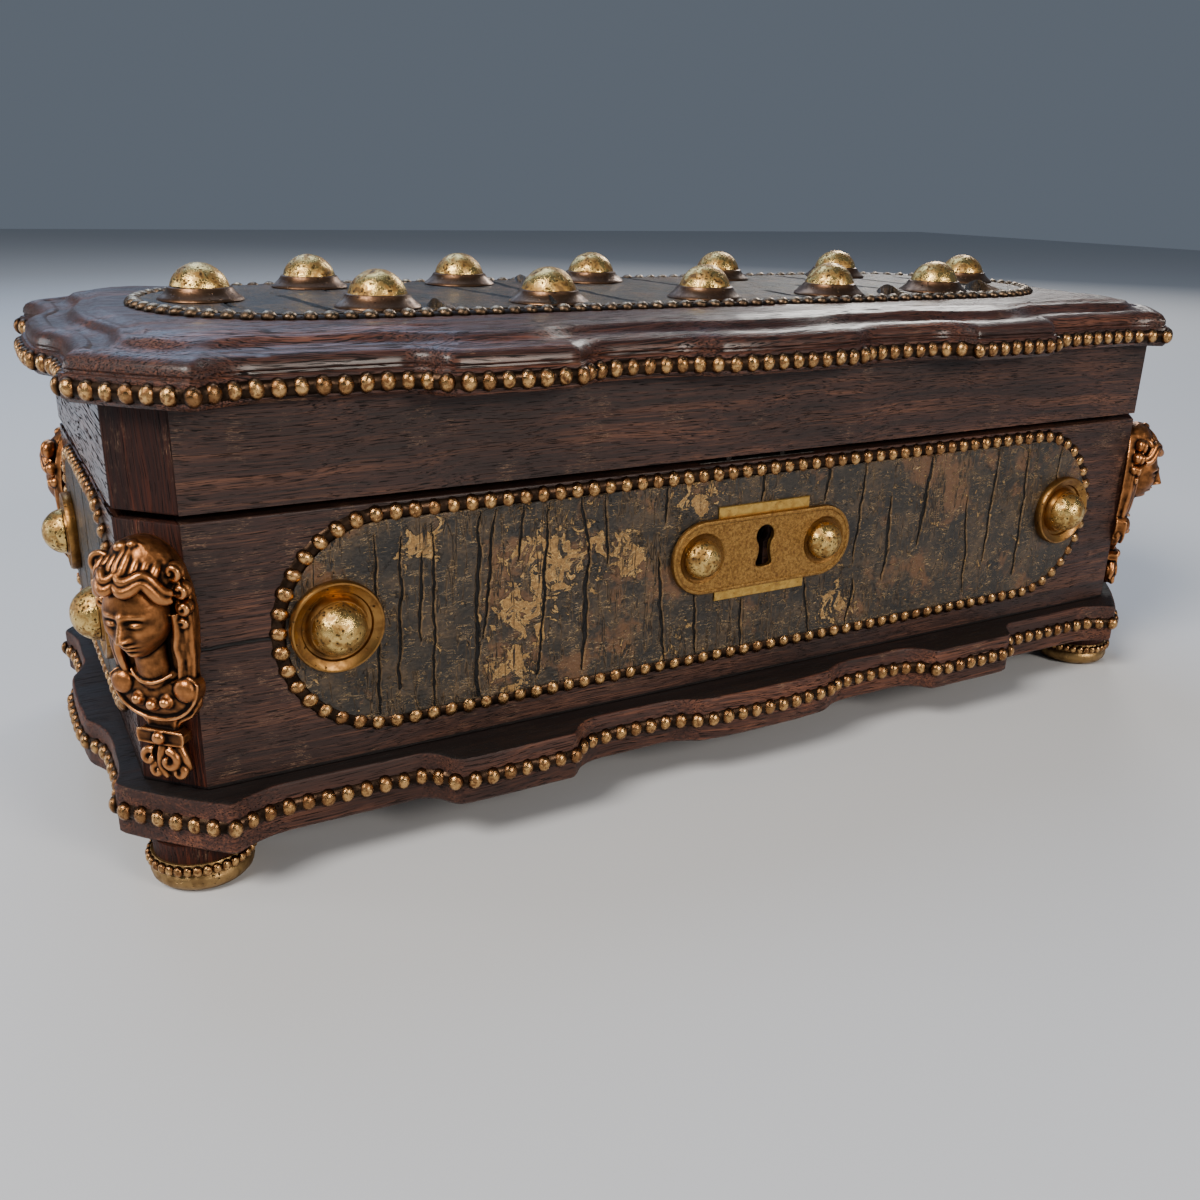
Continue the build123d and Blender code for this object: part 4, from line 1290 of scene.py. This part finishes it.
def curl(bm, centre, radius, turns, start, depth, hand, thick, seat):
    x, y, z = centre
    ball(bm, (x, y, z - seat[0]), (radius, radius, seat[1]))
    points = []
    for k in range(14):
        t = k / 13
        angle = math.radians(start) + hand * turns * 2 * math.pi * t
        reach = radius * (1 - 0.78 * t)
        points.append((x + reach * math.cos(angle), y + reach * math.sin(angle), z + depth * t))
    tube(bm, points, thick, 6)


def maskHair(bm):
    ball(bm, (0.2, 43.9, 2.5), (7.6, 7.5, 5.4))
    for s in (-1, 1):
        for lift, back, radius in ((0, 0, 1.25), (1.7, 0.6, 1.15)):  # two waves over the forehead
            path = [
                (-0.9 + 0.1 * s, 43.9 + lift, 9.4 - back), (-0.9 + 1.3 * s, 42.2 + lift, 10.3 - back),
                (-0.6 + 3.2 * s, 42.8 + lift, 9.8 - back), (4.2 * s, 44.8 + lift * 0.8, 8.6 - back),
                (5.7 * s, 42.9 + lift * 0.8, 7.8 - back), (6.8 * s, 40.2 + lift * 0.8, 6.7 - back),
                (7.9 * s, 40.6 + lift * 0.7, 5.3 - back * 0.8),
            ]
            tube(bm, path, [radius * part for part in (0.6, 1.15, 0.75, 1.15, 0.6)], 6)
        for k in range(4):  # locks drawn back over the crown
            x = 0.4 + 1.75 * k
            path = [
                (s * x - 0.6, 45.0 - 0.3 * k, 8.6 - 0.55 * k), (s * (x + 0.6) - 0.4, 46.9 - 0.2 * k, 7.8 - 0.5 * k),
                (s * (x + 0.1) - 0.2, 48.6 - 0.5 * k, 6.4 - 0.5 * k), (s * x * 0.8, 49.9 - 0.7 * k, 4.4 - 0.4 * k),
            ]
            tube(bm, path, (0.9, 1.0, 0.85, 0.6), 6)
    for centre, radius, start, hand in (
        ((-7.1, 45.8, 4.8), 2.5, 30, 1), ((-8.9, 41.4, 3.6), 1.7, 90, -1), ((-8.9, 37.8, 3.2), 1.4, 60, -1),
        ((7.9, 45.6, 4.0), 1.9, 160, 1), ((9.0, 42.0, 3.6), 1.7, 90, 1), ((9.0, 38.4, 3.3), 1.4, 120, 1),
        ((8.5, 35.4, 3.0), 1.1, 90, 1),
    ):
        curl(bm, centre, radius, 1.25, start, 0.9, hand, (0.7, 0.62, 0.4), (0.7, 1.5))
    for s in (-1, 1):
        for k, sway in enumerate((0.35, -0.3, 0.35, -0.25)):  # long locks down to the collar
            x = 6.6 + 0.62 * k
            path = [
                (s * (x + 0.3), 37.0, 3.6 - 0.45 * k), (s * (x + 0.6 + sway), 33.4, 3.6 - 0.45 * k),
                (s * (x - 0.1 - sway), 30.4, 3.4 - 0.4 * k), (s * (x + 0.4 + sway), 27.6, 3.2 - 0.4 * k),
                (s * (x - 0.2), 25.0, 2.9 - 0.35 * k), (s * (x - 0.5), 22.4, 2.6 - 0.3 * k),
            ]
            tube(bm, path, (0.85, 0.95, 0.8, 0.6), 6)
    band = [(-5.4, 48.2, 3.4), (-2.6, 50.2, 4.4), (0.4, 50.9, 4.8), (3.4, 49.9, 4.4), (6.2, 47.4, 3.6)]
    tube(bm, band, (0.35, 0.5, 0.35), 6)
    ball(bm, (-1.8, 49.6, 4.9), (1.7, 1.3, 1.5))
    ball(bm, (0.4, 50.2, 4.6), (1.2, 1.0, 1.2))


def maskDress(bm):  # collar with its beads, clasp, and the leaf below it
    collar = [
        (0, 13.7), (4.2, 14.3), (7.6, 16.4), (9.6, 19.6), (9.9, 22.6), (7.6, 24.2), (4.4, 22.6), (2.4, 21.4), (0, 21.0),
    ]
    plate(bm, both(collar), 0.2, 3.0, 2)
    ball(bm, (0, 18.8, 1.3), (9.4, 5.0, 2.7))
    rim = [(-9.7, 22.6, 2.9), (-9.5, 19.8, 3.0), (-7.6, 16.5, 3.1), (-4.2, 14.4, 3.2)]
    rim += [(0, 13.8, 3.3)] + [(-x, y, z) for x, y, z in reversed(rim)]
    tube(bm, rim, (0.3, 0.36, 0.3), 6)
    neckline = [(-4.6, 24.2, 3.2), (-2.6, 22.7, 4.6), (0, 22.2, 5.2), (2.6, 22.7, 4.6), (4.6, 24.2, 3.2)]
    tube(bm, neckline, (0.3, 0.42, 0.3), 6)
    tube(bm, [(0, 32, 2.2), (-0.2, 27, 2.3), (0, 23.5, 1.2), (0, 21.5, -0.6)], (3.5, 3.3, 3.9, 4.4), 20)
    ball(bm, (0, 23.2, 0.6), (6.0, 2.6, 2.8))
    for s in (-1, 1):
        ball(bm, (7.0 * s, 21.0, 3.0), (2.5, 2.5, 1.5))
    ring = [(math.cos(2 * math.pi * k / 16), math.sin(2 * math.pi * k / 16)) for k in range(17)]
    for x, y in ((-3.1, 18.4), (0, 17.6), (3.1, 18.4)):
        ball(bm, (x, y, 4.3), (1.1, 1.1, 1.15))
        tube(bm, [(x + 1.3 * u, y + 1.3 * v, 3.9) for u, v in ring], (0.2, 0.2))
    plate(bm, both([(0, 6.5), (3.3, 6.5), (2.9, 12.4), (4.4, 15), (0, 15)]), 0.2, 2.2)
    plate(bm, both([(0, 8.3), (5.3, 8.3), (5.3, 11.6), (0, 11.6)]), 0.2, 3.2)
    for y in (8.6, 11.3):
        tube(bm, [(-5.2, y, 3.1), (0, y, 3.3), (5.2, y, 3.1)], (0.24, 0.24))
    ball(bm, (0, 9.95, 3.5), (1.4, 1.4, 1.1))
    ball(bm, (0.6, 4.6, 1.2), (4.8, 4.2, 1.9))
    for centre, radius, start, hand in (
        ((-2.9, 5.2, 2.6), 1.7, 60, 1), ((1.8, 5.0, 2.9), 2.2, 100, -1), ((-1.2, 2.6, 2.8), 1.3, 80, 1),
        ((3.5, 2.6, 2.4), 1.3, 90, -1),
    ):
        curl(bm, centre, radius, 0.95, start, 0.8, hand, (0.95, 0.85, 0.55), (0.8, 1.3))
    tube(bm, [(0.2, 8.0, 2.3), (-0.4, 5.4, 3.5), (-0.2, 3.0, 3.5), (0.6, 1.1, 2.6)], (0.95, 0.85, 0.55), 6)
    tube(bm, [(3.4, 7.8, 1.8), (4.7, 6.0, 2.3), (5.2, 4.2, 2.1), (5.4, 3.0, 1.6)], (1.0, 0.95, 0.4), 6)


def castTogether(bm, voxel):  # one skin goes over all the parts
    bmesh.ops.recalc_face_normals(bm, faces=bm.faces)
    holder = bpy.data.objects.new("maskRough", meshFrom(bm, "maskRough"))
    scene.collection.objects.link(holder)
    joined = holder.modifiers.new("cast", "REMESH")
    joined.mode = "VOXEL"
    joined.voxel_size = voxel
    bpy.context.view_layer.update()
    cast = bpy.data.meshes.new_from_object(holder.evaluated_get(bpy.context.evaluated_depsgraph_get()))
    bpy.data.objects.remove(holder)
    return cast


def smoothed(bm, factor):
    bmesh.ops.smooth_vert(bm, verts=bm.verts, factor=factor, use_axis_x=True, use_axis_y=True, use_axis_z=True)


def maskMesh(values):
    bm = bmesh.new()
    plate(bm, both([
        (0, 0.3), (3.4, 1.8), (3.9, 4.0), (3.2, 8.0), (3, 12.3), (8.2, 15.4), (9.2, 20.8), (8.4, 24), (9.6, 30),
        (9.8, 40), (7.2, 47.6), (3.2, 50.6), (0, 51.2),
    ]), 0.0, 1.9)
    maskHair(bm)
    maskDress(bm)
    turn, nod = (Matrix.Rotation(math.radians(values[key]), 4, axis) for key, axis in (("turn", "Y"), ("nod", "X")))
    addMesh(bm, headMesh(values), Matrix.Translation(values["head"]) @ turn @ nod)
    cast = castTogether(bm, values["voxel"])
    bm = bmesh.new()
    bm.from_mesh(cast)
    (cavity,) = vertMasks(bm, "cavity")
    for vert in bm.verts:
        if vert.co.z < 0.02:
            vert.co.z = 0.0
    smoothed(bm, 0.4)
    bm.normal_update()
    sharp = [(v.co.copy(), v.normal.copy()) for v in bm.verts]
    heights = []
    for rounds in (6, 38):  # how far each point stands out of its near, then its wide surroundings
        for _ in range(rounds):
            smoothed(bm, 0.5)
        heights.append([(place - v.co).dot(normal) for (place, normal), v in zip(sharp, bm.verts)])
    for vert, (place, _), small, large in zip(bm.verts, sharp, *heights):
        vert.co = place
        vert[cavity] = 0.5 + 3.2 * small + 0.75 * large
    bm.to_mesh(cast)
    bm.free()
    return cast


def castMaterial():
    made, shader, place = newMaterial("castBronze", Metallic=1.0)
    level = plus(readMask(shader, "cavity"), times(minus(noiseNode(place, 0.5, 4), 0.5), 0.35))
    tone = rampNode(
        level, (0.36, (0.010, 0.006, 0.0045)), (0.50, (0.13, 0.052, 0.019)), (0.66, (0.42, 0.165, 0.054)),
        (0.95, (0.72, 0.34, 0.135)),
    )
    filled(shader, **{"Base Color": tone, "Roughness": rampNode(level, (0.35, 0.62), (0.7, 0.30))})
    bumpInto(shader, noiseNode(place, 2.2, 4), 0.06 * mm)
    return made


bronze = castMaterial()
oneMask = maskMesh(maskForm)
cantedX = (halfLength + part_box("case_front")[1].x) / 2
cantedY = (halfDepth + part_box("case_right")[1].y) / 2
for name, sx, sy in (("FrontLeft", -1, -1), ("FrontRight", 1, -1), ("BackLeft", -1, 1), ("BackRight", 1, 1)):
    bm = bmesh.new()
    seat = faceMatrix((sx * cantedX, sy * cantedY, caseLow.z + maskForm["foot"]), (sx, sy, 0))
    addMesh(bm, oneMask, seat @ Matrix.Diagonal((sx * sy * mm, mm, mm, 1)))  # left and right are mirrored
    stands = ["corner_masks"] if name == "FrontLeft" else []
    finishPiece("mask" + name, bm, bronze, "case", stands, smoothAngle=0)
print("masks done")


# Linings: velvet, one shell each, glued to the walls

def velvetMaterial():
    made, shader, place = newMaterial("velvet", **{
        "Roughness": 0.9, "Sheen Weight": 0.3, "Sheen Roughness": 0.4, "Sheen Tint": (0.9, 0.4, 0.4),
    })
    tone = rampNode(noiseNode(place, 0.06, 4), (0.3, (0.062, 0.008, 0.011)), (0.7, (0.105, 0.015, 0.020)))
    filled(shader, **{"Base Color": tone})
    bumpInto(shader, noiseNode(place, 3.0, 3), 0.15 * mm)
    return made


velvet = velvetMaterial()
lining = {"wall": 1.5 * mm, "cloth": 0.5 * mm, "fold": 1.8 * mm}


def liningShell(name, node, body, floorAtTop):
    low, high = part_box(node)
    halfX, halfY = high.x - lining["wall"], high.y - lining["wall"]
    bottom = low.z if floorAtTop else low.z + lining["wall"]
    top = high.z - lining["wall"] if floorAtTop else high.z
    level, rim = (top, bottom) if floorAtTop else (bottom, top)
    bm = bmesh.new()
    bmesh.ops.create_grid(bm, x_segments=2, y_segments=2, size=1.0)
    for vert in bm.verts:
        vert.co = (vert.co.x * halfX, vert.co.y * halfY, level)
    border = [e for e in bm.edges if e.is_boundary]
    for vert in madeVerts(bmesh.ops.extrude_edge_only(bm, edges=border)):
        vert.co.z = rim
    corners = [e for e in bm.edges if len(e.link_faces) == 2 and e.calc_face_angle() > 1]
    bmesh.ops.bevel(bm, geom=corners, offset=lining["fold"], segments=4, profile=0.5, affect="EDGES", material=-1)
    piece = finishPiece(name, bm, velvet, body, [node], smoothAngle=0)
    for side in piece.data.polygons:
        side.use_smooth = max(abs(c) for c in side.normal) < 0.999
    cloth = piece.modifiers.new("cloth", "SOLIDIFY")
    cloth.thickness = lining["cloth"]


liningShell("caseVelvet", "case_lining", "case", False)
liningShell("lidVelvet", "lid_lining", "lid", True)
print("linings done")


# Floor

def makeFloor(values):
    bm = bmesh.new()
    bmesh.ops.create_grid(bm, x_segments=1, y_segments=1, size=values["size"])
    mesh = meshFrom(bm, "floor")
    paintLooks = {"Base Color": values["color"], "Roughness": values["roughness"]}
    mesh.materials.append(newMaterial("floorPaint", **paintLooks)[0])
    ground = bpy.data.objects.new("floor", mesh)
    scene.collection.objects.link(ground)


makeFloor(floor)
